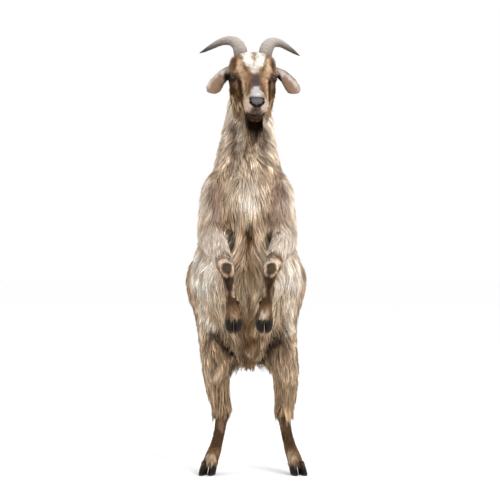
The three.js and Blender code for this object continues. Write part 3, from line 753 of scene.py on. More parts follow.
# The hair is combed over the claws too, so that it overlaps their tops.
comb_points, comb_triangles = [skin_points], [triangles]
for node in sorted(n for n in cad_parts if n.endswith("claw") and not n.endswith("dewclaw")):
    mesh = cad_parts[node].data
    mesh.calc_loop_triangles()
    base = sum(len(p) for p in comb_points)
    comb_triangles.append(rows_of(mesh.loop_triangles, "vertices", 3, np.int32) + base)
    comb_points.append(points_of(mesh))
comb_points, comb_triangles = np.vstack(comb_points), np.vstack(comb_triangles)
a, b, c = comb_points[comb_triangles[len(triangles):]].transpose(1, 0, 2)
claw_normal = unit(np.cross(b - a, c - a))
comb_normal = np.vstack([face_normal, claw_normal])
comb_lie = np.vstack([face_lie, tangent(np.tile((0.0, 0.0, -1.0), (len(claw_normal), 1)), claw_normal)])
comb_node = np.concatenate([face_node, np.full(len(claw_normal), -1)])


TRIES_PER_ROOT = 3.2


def sow(wanted, spacing, random):
    """Roots spread evenly over the wanted triangles: their triangle and place in it."""
    room = face_area[wanted] / spacing[wanted] ** 2
    count = int(TRIES_PER_ROOT * room.sum())
    pick = random.choice(wanted, count, p=room / room.sum())
    a, b = random.uniform(size=(2, count))
    fold = a + b > 1
    a[fold], b[fold] = 1 - a[fold], 1 - b[fold]
    share = np.stack([1 - a - b, a, b], 1)
    place = (skin_points[triangles[pick]] * share[:, :, None]).sum(1)
    cell = np.floor(place / spacing[pick][:, None]).astype(int)
    first = np.sort(np.unique(cell, axis=0, return_index=True)[1])
    return pick[first], share[first], place[first]


def roots_unwrapped(wanted, face, share):
    """The place of each root on a flat unwrap of the wanted triangles, which fills the square."""
    patch = blank("patch")
    used, index = np.unique(triangles[wanted], return_inverse=True)
    patch.data.from_pydata(skin_points[used].tolist(), [], index.reshape(-1, 3).tolist())
    patch.data.uv_layers.new(name="flat")
    pick_only(patch)
    bpy.ops.object.mode_set(mode="EDIT")
    bpy.ops.mesh.select_all(action="SELECT")
    bpy.ops.uv.smart_project(angle_limit=math.radians(75), island_margin=0.004)
    bpy.ops.object.mode_set(mode="OBJECT")
    flat = rows_of(patch.data.uv_layers["flat"].data, "uv", 2)
    bpy.data.objects.remove(patch)
    corners = flat.reshape(-1, 3, 2)[np.searchsorted(wanted, face)]
    return (corners * share[:, :, None]).sum(1)


WAVE_LENGTH = 38 * MM


def comb(place, face, length, height, free, turn, wave, rings, random, ground):
    """The middle line of each lock, laid step by step over the ground along the lie of the coat."""
    tree = BVHTree.FromPolygons(comb_points.tolist(), comb_triangles[ground].tolist())
    n = len(place)
    line = np.empty((n, rings + 1, 3))
    outward = np.empty((n, rings + 1, 3))
    normal = face_normal[face]
    line[:, 0], outward[:, 0] = place - normal * 1.0 * MM, normal
    phase = random.uniform(0, 2 * math.pi, n) * 0.35 + 2.5 * ripple(place, 0.05, 31)
    here = place
    beneath = face
    for k in range(1, rings + 1):
        t = k / rings
        way = tangent(comb_lie[face], normal)
        sideways = np.cross(normal, way)
        angle = turn + wave * np.cos(2 * math.pi * t * length / WAVE_LENGTH + phase)
        way = way * np.cos(angle)[:, None] + sideways * np.sin(angle)[:, None]
        way = unit(way * (1 - free * t)[:, None] + np.array([0, 0, -1]) * (free * t)[:, None])
        ahead = here + way * (length / rings)[:, None]
        found = [tree.find_nearest(p) for p in ahead.tolist()]
        surface = np.array([f[0] for f in found])
        face = ground[[f[2] for f in found]]
        normal = comb_normal[face]
        level = height * (1 - (1 - t) ** 1.5)
        pinned = surface + normal * level[:, None]
        lift = ((ahead - surface) * normal).sum(1)
        hold = np.where(lift > level, 1 - free, 1.0)[:, None]
        here = ahead * (1 - hold) + pinned * hold
        line[:, k], outward[:, k] = here, normal
        if t < 0.8:
            beneath = np.where(face < len(triangles), face, beneath)
    return line, outward, beneath


TUFT_WIDTH = 0.22  # of the locks' spread at the root, where they are wholly drawn together


def gathered(line, place, apart, pull, random, where=1.0):
    """Locks drawn together towards their tips into tufts that are so far apart, and the tuft of each."""
    firmness = np.clip(random.normal(pull, 0.15, len(place)), 0, 0.95) * where
    cell = np.floor((place + random.uniform(0, apart, 3)) / apart).astype(int)
    order = random.permutation(len(place))
    leaders = order[np.unique(cell[order], axis=0, return_index=True)[1]]
    tree = KDTree(len(leaders))
    for number, leader in enumerate(leaders):
        tree.insert(place[leader], number)
    tree.balance()
    mine = np.array([tree.find(p)[1] for p in place.tolist()])
    lead = leaders[mine]
    t = np.linspace(0, 1, line.shape[1])[None, :, None] ** 1.3
    aim = line[lead] + (place - place[lead])[:, None, :] * TUFT_WIDTH
    return line + (aim - line) * t * firmness[:, None, None], mine


def kept_within(line, free, random):
    """Locks held in to the outline that the frame gives the coat, though a few stray a little out."""
    shape = line.shape
    found = [outline_tree.find_nearest(p) for p in line.reshape(-1, 3).tolist()]
    surface = np.array([f[0] for f in found]).reshape(shape)
    normal = np.array([f[1] for f in found]).reshape(shape)
    proud = ((line - surface) * normal).sum(2)
    stray = random.uniform(-3, 3, shape[0]) + 8 * np.maximum(random.normal(size=shape[0]) - 1, 0)
    stray += 18 * np.maximum(free - 0.3, 0)
    excess = np.maximum(proud - stray[:, None] * MM * np.linspace(0.2, 1, shape[1]), 0)
    excess = np.where(proud < 60 * MM, excess, 0)
    return line - normal * excess[:, :, None]


SOFTNESS = 0.7  # how far the shading of a lock follows the hide beneath it
LOCK_PATCH = 0.003  # the side of a lock's place in the baked unwrap
ALONG, GIRTH = (0, 0.25, 0.6, 0.85, 1), (0.6, 1, 0.85, 0.5, 0.1)  # how thick a lock is from root to tip


def build_locks(name, line, outward, half, colours, flat, random):
    """One mesh of closed three-sided spikes, with a place in the unwrap for each."""
    n, rings = line.shape[0], line.shape[1] - 1
    profile = np.interp(np.linspace(0, 1, rings + 1)[:-1], ALONG, GIRTH)
    forward = unit(np.gradient(line, axis=1))[:, :-1]
    sideways = unit(np.cross(forward, outward[:, :-1]))
    upward = np.cross(sideways, forward)
    roll = random.normal(0, 0.5, n)[:, None, None]
    rolled = sideways * np.cos(roll) + upward * np.sin(roll)
    upward = upward * np.cos(roll) - sideways * np.sin(roll)
    sideways = rolled
    theta = np.arange(3) * 2 * math.pi / 3
    size = (half[:, None] * profile)[:, :, None, None]
    ring = line[:, :-1, None, :] + size * (
        upward[:, :, None, :] * 0.55 * np.cos(theta)[None, None, :, None]
        + sideways[:, :, None, :] * np.sin(theta)[None, None, :, None]
    )
    per = 3 * rings + 1
    points = np.concatenate([ring.reshape(n, 3 * rings, 3), line[:, -1:, :]], 1).reshape(-1, 3)
    shades = np.concatenate([np.repeat(colours[:, :-1], 3, axis=1), colours[:, -1:]], 1).reshape(-1, 3)

    corners, ends, flats = [], [], []
    for k in range(rings):
        for j in range(3):
            a, b = 3 * k + j, 3 * k + (j + 1) % 3
            low, high = k / rings, (k + 1) / rings
            if k + 1 < rings:
                corners += [a, b, b + 3, a + 3]
                flats += [(j / 3, low), ((j + 1) / 3, low), ((j + 1) / 3, high), (j / 3, high)]
                ends.append(4)
            else:
                corners += [a, b, 3 * rings]
                flats += [(j / 3, low), ((j + 1) / 3, low), ((j + 0.5) / 3, 1)]
                ends.append(3)
    corners += [2, 1, 0]
    flats += [(0.9, 0), (0.5, 0), (0.1, 0)]
    ends.append(3)
    corners, ends, flats = np.array(corners), np.array(ends), np.array(flats)

    mesh = bpy.data.meshes.new(name)
    mesh.vertices.add(len(points))
    mesh.vertices.foreach_set("co", points.ravel())
    mesh.loops.add(n * len(corners))
    mesh.loops.foreach_set("vertex_index", (corners[None] + per * np.arange(n)[:, None]).ravel())
    sizes = np.tile(ends, n)
    mesh.polygons.add(len(sizes))
    mesh.polygons.foreach_set("loop_start", np.concatenate([[0], np.cumsum(sizes)[:-1]]))
    mesh.polygons.foreach_set("loop_total", sizes)
    mesh.update(calc_edges=True)
    shaded_smooth(mesh)
    away = unit(ring - line[:, :-1, None, :])
    facing = np.broadcast_to(outward[:, :-1, None, :], ring.shape) * SOFTNESS + away * (1 - SOFTNESS)
    facing = np.concatenate([facing.reshape(n, 3 * rings, 3), outward[:, -1:, :]], 1).reshape(-1, 3)
    mesh.normals_split_custom_set_from_vertices(unit(facing))
    baked = mesh.uv_layers.new(name="OFBake")
    baked.data.foreach_set("uv", (flat[:, None] * (1 - LOCK_PATCH) + flats[None] * LOCK_PATCH).ravel())
    fine = mesh.uv_layers.new(name="Strands")
    length = np.linalg.norm(np.diff(line, axis=1), axis=2).sum(1)
    span = np.stack([half * 4 / MM, length / MM], 1)
    offset = random.uniform(0, 900, (n, 2))
    fine.data.foreach_set("uv", (offset[:, None] + flats[None] * span[:, None]).ravel())
    colour_attribute(mesh, shades)
    return blank(name, mesh)


hair, nodes, links, shader = new_material("locks of hair", 0.6, Specular_IOR_Level=0.04)
strands = nodes.new("ShaderNodeUVMap")
strands.uv_map = "Strands"
grain = drawn_out_noise(nodes, links, strands.outputs["UV"], (1.1, 0.05, 1), 1.0, 2)
colour_by_markings_and_shading(nodes, links, shader, grain, (0.75, 1.85))
raise_grain(nodes, links, shader, grain, 0.5, 0.6 * MM)


def grow_coat(
    name, parts, spacing_mm, half_mm, rings, tufts, wave, seed,
    dark_root=0.45, vary=0.17, turned=0.12, lift=0.84,
):
    """The locks of some parts of the body as one piece: how far apart their roots are, half their width, the
    lengths that each is made of, their tufts and waves, how dark their roots are painted as painted shade,
    and how varied, turned and lifted they are."""
    random = np.random.default_rng(seed)
    wanted = np.flatnonzero(np.isin(face_node, [i for i, node in enumerate(flesh) if node in parts]))
    spacing = np.full(len(triangles), spacing_mm * MM)
    face, share, place = sow(wanted, spacing, random)
    spare = np.zeros(len(place), bool)
    for frame_name, path, wide, soft in BALD:
        spare |= on_line(place, frame_name, path) < wide + random.normal(0, soft * 0.4, len(place))
    face, share, place = face[~spare], share[~spare], place[~spare]
    n = len(place)
    corner = triangles[face]

    def at_root(values):
        return (values[corner] * share.reshape(share.shape + (1,) * (values.ndim - 1))).sum(1)

    length = at_root(skin_length) * random.uniform(0.7, 1.25, n)
    height = at_root(skin_room) * lift * np.clip(random.normal(1, 0.22, n), 0.2, 1.3)
    free = at_root(skin_free)
    turn = random.normal(0, turned, n)
    tail = flesh.index("tail")
    ground = np.flatnonzero(comb_node == tail if "tail" in parts else comb_node != tail)
    line, outward, beneath = comb(place, face, length, height, free, turn, wave, rings, random, ground)
    tone = 0.8 * vary * random.normal(size=n) + 0.5 * vary * ripple(place, 0.035, 41)
    tone += 0.6 * vary * ripple(place, 0.009, 42)
    for apart, pull in tufts:
        line, mine = gathered(line, place, apart * MM, pull, random)
        tone += 1.2 * vary * random.normal(size=mine.max() + 1)[mine]
        tone += np.where(random.uniform(size=mine.max() + 1) < 0.1, -0.35, 0)[mine]
    if lift > 0.8:
        line = kept_within(line, free, random)
    t = np.linspace(0, 1, rings + 1)
    # painted shade darkens each lock towards its root, and painted light brightens it towards its tip
    shade = dark_root + (1.14 - dark_root) * t ** 0.7
    own = smooth_step(free, 0.4, 0.75)[:, None]
    colours = hair_colours[triangles[beneath]].mean(1) * (1 - own) + at_root(hair_colours) * own
    colours = colours[:, None] * (np.exp(tone)[:, None] * shade)[:, :, None]
    half = half_mm * MM * random.uniform(0.7, 1.25, n)
    flat = roots_unwrapped(wanted, face, share)
    piece = build_locks(name, line, outward, half, np.clip(colours, 0, 0.95), flat, random)
    piece.data.materials.append(hair)
    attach(piece, "root")


def both(*names):
    return [name.replace("SIDE", side) for name in names for side in SIDES]


# Tufts within tufts: how far apart in millimetres, and how firmly drawn together.
LONG = [(9, 0.62), (23, 0.4)]
SOFT = [(9, 0.5), (23, 0.3)]
SHORT = [(8, 0.45)]
ears = both("ear_SIDE")
arms = both("fore_SIDE_upper_arm", "fore_SIDE_forearm")
shanks = both("hind_SIDE_cannon", "hind_SIDE_pastern", "fore_SIDE_cannon", "fore_SIDE_pastern")
# In order: millimetres between roots, half the width of a lock, the lengths it is made of, its tufts, its
# wave and the seed of its random draws.
# The brightness given below to the roots of the locks is painted shade deep in the coat.
grow_coat("coat_face", ["head"], 2.15, 0.46, 2, [], 0.0, 1, dark_root=0.75, vary=0.27, lift=0.75)
grow_coat("coat_ears", ears, 1.9, 0.42, 2, [], 0.0, 2, dark_root=0.8, vary=0.1, turned=0.08, lift=0.3)
grow_coat("coat_neck", ["neck"], 3.75, 1.0, 4, LONG, 0.06, 3, dark_root=0.5, turned=0.07)
grow_coat("coat_chest", ["chest"], 4.2, 1.1, 4, SOFT, 0.1, 4, dark_root=0.62, vary=0.12)
grow_coat("coat_abdomen", ["abdomen"], 4.75, 1.25, 4, SOFT, 0.12, 5, dark_root=0.55, vary=0.14)
grow_coat("coat_rump", ["rump"], 4.3, 1.4, 4, LONG, 0.14, 6)
grow_coat("coat_tail", ["tail"], 2.6, 0.75, 3, [(7, 0.35)], 0.05, 13)
for side in SIDES:
    leg = [f"hind_{side}_thigh", f"hind_{side}_gaskin"]
    grow_coat("coat_thigh_" + side, leg, 4.85, 1.25, 4, LONG, 0.14, 7 + SIDES[side])
grow_coat("coat_arms", arms, 3.35, 0.85, 3, [(10, 0.4)], 0.0, 11, dark_root=0.68, vary=0.12, turned=0.06)
grow_coat("coat_shanks", shanks, 2.6, 0.6, 2, SHORT, 0.03, 12, dark_root=0.7, vary=0.16, lift=0.7)

# ---------------------------------------------------------------- eyes
# Each eye is a glossy ball with an amber iris and a level slit for a pupil, as goats have. It sits in its
# socket behind the lids.
IRIS, PUPIL_WIDE, PUPIL_HIGH = 0.70, 0.46, 0.17
eye_finish, nodes, links, shader = new_material(
    "eye", 0.12, Specular_IOR_Level=0.12, Coat_Weight=0.2, Coat_Roughness=0.02
)
gaze = nodes.new("ShaderNodeAttribute")
gaze.attribute_name = "Gaze"
parts = nodes.new("ShaderNodeSeparateXYZ")
links.new(gaze.outputs["Vector"], parts.inputs[0])


def math_node(nodes, links, operation, *values):
    node = nodes.new("ShaderNodeMath")
    node.operation = operation
    for socket, value in zip(node.inputs, values):
        if isinstance(value, (int, float)):
            socket.default_value = value
        else:
            links.new(value, socket)
    return node.outputs[0]


def ramp(nodes, links, value, stops):
    node = nodes.new("ShaderNodeValToRGB")
    band = node.color_ramp
    while len(band.elements) < len(stops):
        band.elements.new(0.5)
    for element, (at, colour) in zip(band.elements, stops):
        element.position = at
        element.color = (*paint(colour), 1)
    links.new(value, node.inputs["Fac"])
    return node.outputs["Color"]


def mixed(nodes, links, share, a, b):
    node = nodes.new("ShaderNodeMix")
    node.data_type = "RGBA"
    for socket, value in ((0, share), (6, a), (7, b)):
        if isinstance(value, (int, float)):
            node.inputs[socket].default_value = value
        elif isinstance(value, tuple):
            node.inputs[socket].default_value = (*paint(value), 1)
        else:
            links.new(value, node.inputs[socket])
    return node.outputs[2]


flat = nodes.new("ShaderNodeCombineXYZ")
links.new(parts.outputs["X"], flat.inputs["X"])
links.new(parts.outputs["Y"], flat.inputs["Y"])
radius = nodes.new("ShaderNodeVectorMath")
radius.operation = "LENGTH"
links.new(flat.outputs[0], radius.inputs[0])
iris = ramp(nodes, links, radius.outputs["Value"], [
    (0.0, (46, 29, 16)), (0.3, (62, 40, 22)), (0.5, (88, 58, 32)), (0.6, (44, 28, 16)), (IRIS, (14, 10, 8)),
])
wide = math_node(nodes, links, "DIVIDE", parts.outputs["X"], PUPIL_WIDE)
high = math_node(nodes, links, "DIVIDE", parts.outputs["Y"], PUPIL_HIGH)
wide = math_node(nodes, links, "POWER", math_node(nodes, links, "ABSOLUTE", wide), 4.0)
high = math_node(nodes, links, "POWER", math_node(nodes, links, "ABSOLUTE", high), 2.0)
pupil = math_node(nodes, links, "LESS_THAN", math_node(nodes, links, "ADD", wide, high), 1.0)
links.new(mixed(nodes, links, pupil, iris, (6, 5, 6)), shader.inputs["Base Color"])

for side in SIDES:
    out = GAZE[side]
    across = Vector((0, 0, 1)).cross(out).normalized()
    up = out.cross(across)
    bpy.ops.object.select_all(action="DESELECT")
    bpy.ops.mesh.primitive_uv_sphere_add(segments=48, ring_count=32, radius=1)
    eyeball = bpy.context.object
    eyeball.name = "eyeball_" + side
    ball = points_of(eyeball.data)
    swell = 1 + 0.09 * np.clip((ball[:, 2] - 0.62) / 0.38, 0, 1)
    layer = eyeball.data.attributes.new("Gaze", "FLOAT_VECTOR", "POINT")
    layer.data.foreach_set("vector", ball.ravel())
    axes = np.array([across, up, out])
    centre = np.array(EYE_CENTRE[side])
    set_points(eyeball.data, centre + (ball * swell[:, None] * (EYE["radius"] - 0.6) * MM) @ axes)
    bpy.ops.object.shade_smooth()
    eyeball.data.materials.append(eye_finish)
    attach(eyeball, "root")
    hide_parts("eye_" + side)

# ---------------------------------------------------------------- beard
# Long straight locks grow from the chin and the jaw behind it and hang down before the throat. They are
# nearly black at the root and sand-coloured at the tip, and a fringe of brown and cream ones hangs beside
# them from the cheeks.
BEARD_ROOT = (0, 98, 195)  # on the head, at the middle of the roots
BEARD_TIP = Vector((21, -137, 984)) * MM
DARK_ROOT, DARK_TIP, PALE_TIP = (34, 22, 12), (112, 88, 66), (190, 166, 140)
FRINGE = [(134, 104, 72), (98, 74, 50), (192, 168, 140)]
random = np.random.default_rng(10)
local = on_head(skin_points[triangles].mean(1))
of_jaw = (np.abs(local[:, 0]) < 44) & (local[:, 1] > 84) & (local[:, 1] < 122) & (local[:, 2] > 130)
of_cheek = (np.abs(local[:, 0]) > 34) & (local[:, 1] > 77) & (local[:, 1] < 116) & (local[:, 2] > 72)
on_face = (face_node == flesh.index("head")) & (local[:, 2] < 226) & (face_normal[:, 2] < 0.2)
wanted = np.flatnonzero((of_jaw | of_cheek) & on_face)
spacing = np.where(np.abs(local[:, 0]) < 26, 2.6 * MM, 3.1 * MM)
face, share, place = sow(wanted, spacing, random)
n = len(place)
out = np.abs(local[face, 0])
aside = smooth_step(out, 21, 32)[:, None]
reach = random.uniform(0.3, 1.05, n)[:, None] ** 0.8
down_the_cheek = smooth_step(local[face, 1], 78, 102)
middle = np.array(from_head(*BEARD_ROOT))
fringe = -MM * (16 + (54 + 22 * smooth_step(out, 30, 50)) * down_the_cheek)
drop = (np.array(BEARD_TIP) - middle) * (1 - aside) + np.stack([0 * out, 0 * out, fringe], 1) * aside
keep = random.uniform((0.5, 0, 0.2), (1.0, 0.4, 0.7), (n, 3)) * (1 - aside)
sunk = middle + (place - middle) * keep + drop * reach
swept = np.stack([-0.06 * (place[:, 0] - MIDDLE * MM), -0.22 * fringe, 0 * out], 1)
beside = place + (drop + swept) * reach
tip = sunk * (1 - aside) + beside * aside
tip += random.normal(0, 3 * MM, (n, 3)) * (1, 1, 0.5)
elbow = place + face_normal[face] * 5 * MM + np.array([0, 0, -0.45]) * np.linalg.norm(drop, axis=1)[:, None]
rings = 6
t = np.linspace(0, 1, rings + 1)[None, :, None]
line = (1 - t) ** 2 * place[:, None] + 2 * t * (1 - t) * elbow[:, None] + t * t * tip[:, None]
phase = 2 * ripple(place, 0.02, 51)[:, None]
line[:, :, 0] += np.sin(t[..., 0] * 7 + phase) * t[..., 0] * 2.6 * MM
line[:, :, 1] += np.cos(t[..., 0] * 8 + phase) * t[..., 0] * 2.0 * MM
outward = np.repeat(face_normal[face][:, None], rings + 1, axis=1)
line, mine = gathered(line, place, 8 * MM, 0.5, random)
line = gathered(line, place, 18 * MM, 0.35, random, where=aside[:, 0])[0]
kinds_of_lock = random.uniform(size=mine.max() + 1)[mine][:, None]
sandy = np.where(random.uniform(size=n)[:, None] < 0.4, paint(DARK_TIP), paint(PALE_TIP))
brown = np.where(kinds_of_lock < 0.4, paint(FRINGE[0]), paint(FRINGE[1]))
brown = np.where(kinds_of_lock > 0.66, paint(FRINGE[2]), brown)
light = sandy * (1 - aside) + brown * aside
shade = smooth_step(t[0], 0.3, 0.85)[None] * (1 - aside[:, None]) + aside[:, None]
colours = paint(DARK_ROOT) * (1 - shade) + light[:, None] * shade
tone = 0.2 * random.normal(size=n) + 0.15 * random.normal(size=mine.max() + 1)[mine]
colours = colours * np.exp(tone)[:, None, None]
half = random.uniform(0.6, 1.1, n) * (1 - 0.3 * aside[:, 0]) * MM
flat = roots_unwrapped(wanted, face, share)
beard = build_locks("beard_hair", line, outward, half, np.clip(colours, 0, 0.95), flat, random)
beard.data.materials.append(hair)
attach(beard, "root")
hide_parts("beard")

# ---------------------------------------------------------------- horns
# Two horns that curve up, out and back. Each is one solid sheath, ringed with growth ridges, pale along the
# top and nearly black at its tip, and its root is sunk into the hair and the head. The pale top and the dark
# underside are painted light and shade.
HORN_LINE = [  # out, back and up from the poll
    (35, -12, -22), (37, -10, -4), (43, -2, 19), (59, 14, 35),
    (82, 34, 37), (107, 56, 30), (132, 76, 19), (155, 92, 9),
]
TIP_DROOP = {"right": 6, "left": 3}
SUNK_MM, SET_BACK_MM = 13, 22  # the root runs on into the head, and leans back there
HORN_VOXEL = 1.8 * MM
# The horn is painted pale where it faces up and darker where it faces down: painted light and painted shade.
HORN_TOP_PAINTED_LIGHT, HORN_UNDERSIDE_PAINTED_SHADE, HORN_DEEP_PAINTED_SHADE = (188, 179, 170), (120, 108, 100), (58, 48, 42)
HORN_ROOT, HORN_TIP = (88, 76, 68), (48, 42, 35)
horn_finish, nodes, links, shader = new_material("horn", 0.5, Specular_IOR_Level=0.2)
growth = nodes.new("ShaderNodeAttribute")
growth.attribute_name = "Growth"
grain = drawn_out_noise(nodes, links, growth.outputs["Vector"], (0.02, 0.9, 0.9), 1.0, 4)
colour_by_markings_and_shading(nodes, links, shader, grain, (0.7, 1.3))
raise_grain(nodes, links, shader, grain, 0.35, 0.6 * MM)


def along_curve(path, points, steps=24):
    """How far along a smooth curve each point lies, its offset from the curve, and the curve's way there."""
    path = np.array(path, float)
    ends = np.vstack([2 * path[0] - path[1], path, 2 * path[-1] - path[-2]])
    u = np.linspace(0, 1, steps, endpoint=False)[:, None]
    curve = []
    for a, b, c, d in zip(ends, ends[1:], ends[2:], ends[3:]):
        curve.append(b + u * (c - a + u * (2 * a - 5 * b + 4 * c - d + u * (3 * (b - c) + d - a))) / 2)
    curve = np.vstack(curve + [path[-1:]])
    far = np.concatenate([[0], np.cumsum(np.linalg.norm(np.diff(curve, axis=0), axis=1))])
    nearest = ((points[:, None] - curve[None]) ** 2).sum(2).argmin(1)
    way = unit(np.gradient(curve, axis=0))[nearest]
    offset = points - curve[nearest]
    return far[nearest] + (offset * way).sum(1), offset, way


for side, sign in SIDES.items():
    horn = merged_copy("horn_sheath_" + side, ["horn_" + side])
    path = [head_place @ Vector(p) for p in mirrored(HORN_LINE, sign)]
    far, offset, way = along_curve(path, points_of(horn.data) / MM)
    sunk = points_of(horn.data) - way * (SUNK_MM * MM * (far < far.min() + 9))[:, None]
    set_points(horn.data, sunk)
    finish_with(horn, "REMESH", mode="VOXEL", voxel_size=HORN_VOXEL)
    horn_edges = edges_of(horn.data)
    far, offset, way = along_curve(path, points_of(horn.data) / MM)
    tip = smooth_step(far, far.max() - 60, far.max())
    set_points(horn.data, relaxed(points_of(horn.data), horn_edges, 0.5 - 0.42 * tip, 26))
    far, offset, way = along_curve(path, points_of(horn.data) / MM)
    along_horn = (far - far.min()) / (far.max() - far.min())
    beat = far / (7 + 2 * np.sin(far / 31)) + 0.06 * ripple(points_of(horn.data), 0.02, 61)
    ridge = np.abs(np.sin(math.pi * beat)) ** 0.7 - 0.6
    ringed = 1 - smooth_step(along_horn, 0.45, 0.9)
    rise = 0.6 * ridge * ringed + 0.25 * ripple(points_of(horn.data), 0.006, 62)
    rise = rise * (1 - smooth_step(along_horn, 0.85, 1.0))
    set_points(horn.data, points_of(horn.data) + normals_of(horn.data) * (rise * MM)[:, None])
    # painted light on the top of the horn and painted shade under it, by the way its surface faces
    upper = normals_of(horn.data)[:, 2] * 0.5 + 0.5
    colours = over(paint(HORN_UNDERSIDE_PAINTED_SHADE), HORN_TOP_PAINTED_LIGHT, upper ** 1.6)
    colours = over(colours, HORN_DEEP_PAINTED_SHADE, 0.75 * (1 - upper) ** 1.5)
    colours = over(colours, HORN_ROOT, 0.75 * (1 - smooth_step(along_horn, 0.02, 0.26)))
    colours = over(colours, HORN_TIP, 0.95 * smooth_step(along_horn, 0.64, 0.96))
    # painted shade in the grooves between the growth ridges
    colours = colours * (1 - 0.22 * np.clip(-ridge, 0, 1) * ringed)[:, None]
    root = 1 - smooth_step(far, far.min() + 2, far.min() + 34)
    droop = TIP_DROOP[side] * smooth_step(along_horn, 0.5, 1.0) ** 1.5
    moved = points_of(horn.data) + (SET_BACK_MM * MM * root)[:, None] * np.array(head_way(0, 1, 0))
    set_points(horn.data, moved - (MM * droop)[:, None] * np.array([0, 0, 1]))
    colour_attribute(horn.data, colours)
    layer = horn.data.attributes.new("Growth", "FLOAT_VECTOR", "POINT")
    girth = np.cross(way, offset)
    layer.data.foreach_set("vector", np.column_stack([far, offset[:, 2], girth[:, 2]]).ravel())
    shaded_smooth(horn.data)
    horn.data.materials.append(horn_finish)
    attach(horn, "root")
    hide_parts("horn_" + side)

# ---------------------------------------------------------------- claws
# Each toe ends in a hard horn claw with a flat sole, black-brown with paler streaks that run down from the
# hair line, and two small dewclaws stand behind each foot.
claw_finish, nodes, links, shader = new_material("claw horn", 0.55, Specular_IOR_Level=0.08)
place = nodes.new("ShaderNodeTexCoord").outputs["Object"]
streaks = drawn_out_noise(nodes, links, place, (1, 1, 0.12), 260, 3)
growth_rings = drawn_out_noise(nodes, links, place, (12, 12, 230), 1.0, 2)
colour_by_markings_and_shading(nodes, links, shader, streaks, (0.5, 1.7), spread=(0.3, 0.7))
raise_grain(nodes, links, shader, growth_rings, 0.3, 0.8 * MM)
LEVELS = 12  # of a claw's height, at which its width is measured
CLAW = (26, 21, 17)
CLAW_OUTER_WALL, CLAW_INNER_WALL = (74, 60, 48), (112, 102, 92)
# Where a claw meets its fellow it is painted nearly black: painted shade in the cleft.
CLAW_SOLE, CLAW_CLEFT_PAINTED_SHADE = (78, 64, 52), (10, 8, 7)


def level_of(points):
    """How high each point of a claw is, in levels from its tip or sole."""
    return (points[:, 2] - points[:, 2].min()) / np.ptp(points[:, 2]) * LEVELS


def edges_by_level(points, toward):
    """How far a claw reaches at each level, away from the cleft and to it."""
    level = np.clip(level_of(points).astype(int), 0, LEVELS - 1)
    reach = [points[level == k, 0] * toward for k in range(LEVELS)]
    return np.array([[r.min(), r.max()] for r in reach]).T * toward


def closed_up(points, fellow, toward):
    """A claw's wall at the cleft brought up to its fellow's, and how far from it each point is."""
    near, far = edges_by_level(points, toward)
    middle = (near + edges_by_level(fellow, -toward)[0]) / 2
    here = level_of(points) - 0.5
    near, far, middle = (np.interp(here, np.arange(LEVELS), values) for values in (near, far, middle))
    share = (points[:, 0] - near) / (far - near)
    inner = middle + 0.4 * MM * toward
    points[:, 0] = inner + share * (far - inner)
    return points, share


claw_nodes = sorted(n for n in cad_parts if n.endswith("claw"))
shaped = {}
for node in claw_nodes:
    small = node.endswith("dewclaw")
    claw = merged_copy("horny_" + node, [node])
    finish_with(claw, "REMESH", mode="VOXEL", voxel_size=(1.0 if small else 1.5) * MM)
    shaped[node] = claw, relaxed(points_of(claw.data), edges_of(claw.data), 0.5, 5 if small else 9)

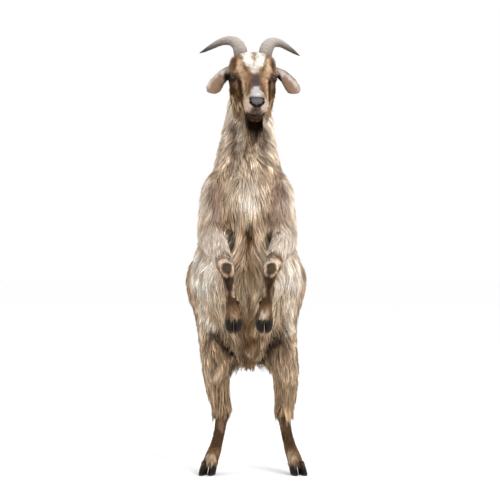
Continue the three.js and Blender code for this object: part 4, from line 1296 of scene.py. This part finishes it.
for node in claw_nodes:
    small = node.endswith("dewclaw")
    claw, points = shaped[node]
    points = points.copy()
    colours = np.tile(paint(CLAW), (len(points), 1))
    floor_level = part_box(node)[0].z
    if not small:
        fellow = node.replace("inner", "outer") if "inner" in node else node.replace("outer", "inner")
        other = shaped[fellow][1]
        toward = 1 if points[:, 0].mean() > other[:, 0].mean() else -1
        points, share = closed_up(points, other, toward)
        height = level_of(points) / LEVELS
        outer_wall = smooth_step(share, 0.45, 0.9) * smooth_step(height, 0.4, 0.8)
        inner_wall = smooth_step(-share, -0.5, -0.1) * smooth_step(height, 0.35, 0.75)
        colours = over(colours, CLAW_OUTER_WALL, 0.8 * outer_wall)
        colours = over(colours, CLAW_INNER_WALL, 0.85 * inner_wall)
        colours = over(colours, CLAW_SOLE, 0.7 * smooth_step(-height, -0.16, -0.02))
        # painted shade in the cleft between the two claws
        colours = over(colours, CLAW_CLEFT_PAINTED_SHADE, 0.9 * smooth_step(-share, -0.1, 0.0))
        if floor_level < 1 * MM:  # the soles of the hind claws stay flat on the floor
            points[:, 2] = np.where(points[:, 2] < 1.6 * MM, floor_level, points[:, 2])
    set_points(claw.data, points)
    colour_attribute(claw.data, colours)
    shaded_smooth(claw.data)
    claw.data.materials.append(claw_finish)
    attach(claw, "root")
    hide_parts(node)

# ---------------------------------------------------------------- floor, light and camera
# A plain pale floor and soft light from above and in front, with the camera level with the goat's body.
bpy.ops.object.select_all(action="DESELECT")
bpy.ops.mesh.primitive_plane_add(size=30, location=(0, 4, 0))
floor = bpy.context.object
floor.name = "floor"
floor_finish, nodes, links, shader = new_material("pale floor", 0.9, Specular_IOR_Level=0.1)
shader.inputs["Base Color"].default_value = (0.99, 0.99, 0.99, 1)
floor.data.materials.append(floor_finish)

world = bpy.data.worlds.new("studio")
bpy.context.scene.world = world
world.use_nodes = True
world.node_tree.nodes["Background"].inputs["Color"].default_value = (1, 1, 1, 1)
world.node_tree.nodes["Background"].inputs["Strength"].default_value = 1.0
bpy.context.scene.view_settings.view_transform = "Standard"


def soft_light(name, place, aim, size, power):
    lamp = bpy.data.lights.new(name, "AREA")
    lamp.size, lamp.energy = size, power
    holder = bpy.data.objects.new(name, lamp)
    bpy.context.collection.objects.link(holder)
    holder.location = place
    holder.rotation_euler = (Vector(aim) - Vector(place)).to_track_quat("-Z", "Y").to_euler()


soft_light("key light", (2.0, -2.6, 2.5), (0, 0, 0.8), 1.6, 82)
soft_light("fill light", (-2.8, -1.8, 1.7), (0, 0, 0.7), 2.0, 20)

CAMERA_PLACE = (0.009, -4.9734, 0.75)
CAMERA_AIM = (0.012, 0.0266, 0.686)
lens = bpy.data.cameras.new("camera")
lens.lens, lens.sensor_width = 118, 36
camera = bpy.data.objects.new("camera", lens)
bpy.context.collection.objects.link(camera)
camera.location = CAMERA_PLACE
camera.rotation_euler = (Vector(CAMERA_AIM) - camera.location).to_track_quat("-Z", "Y").to_euler()
bpy.context.scene.camera = camera
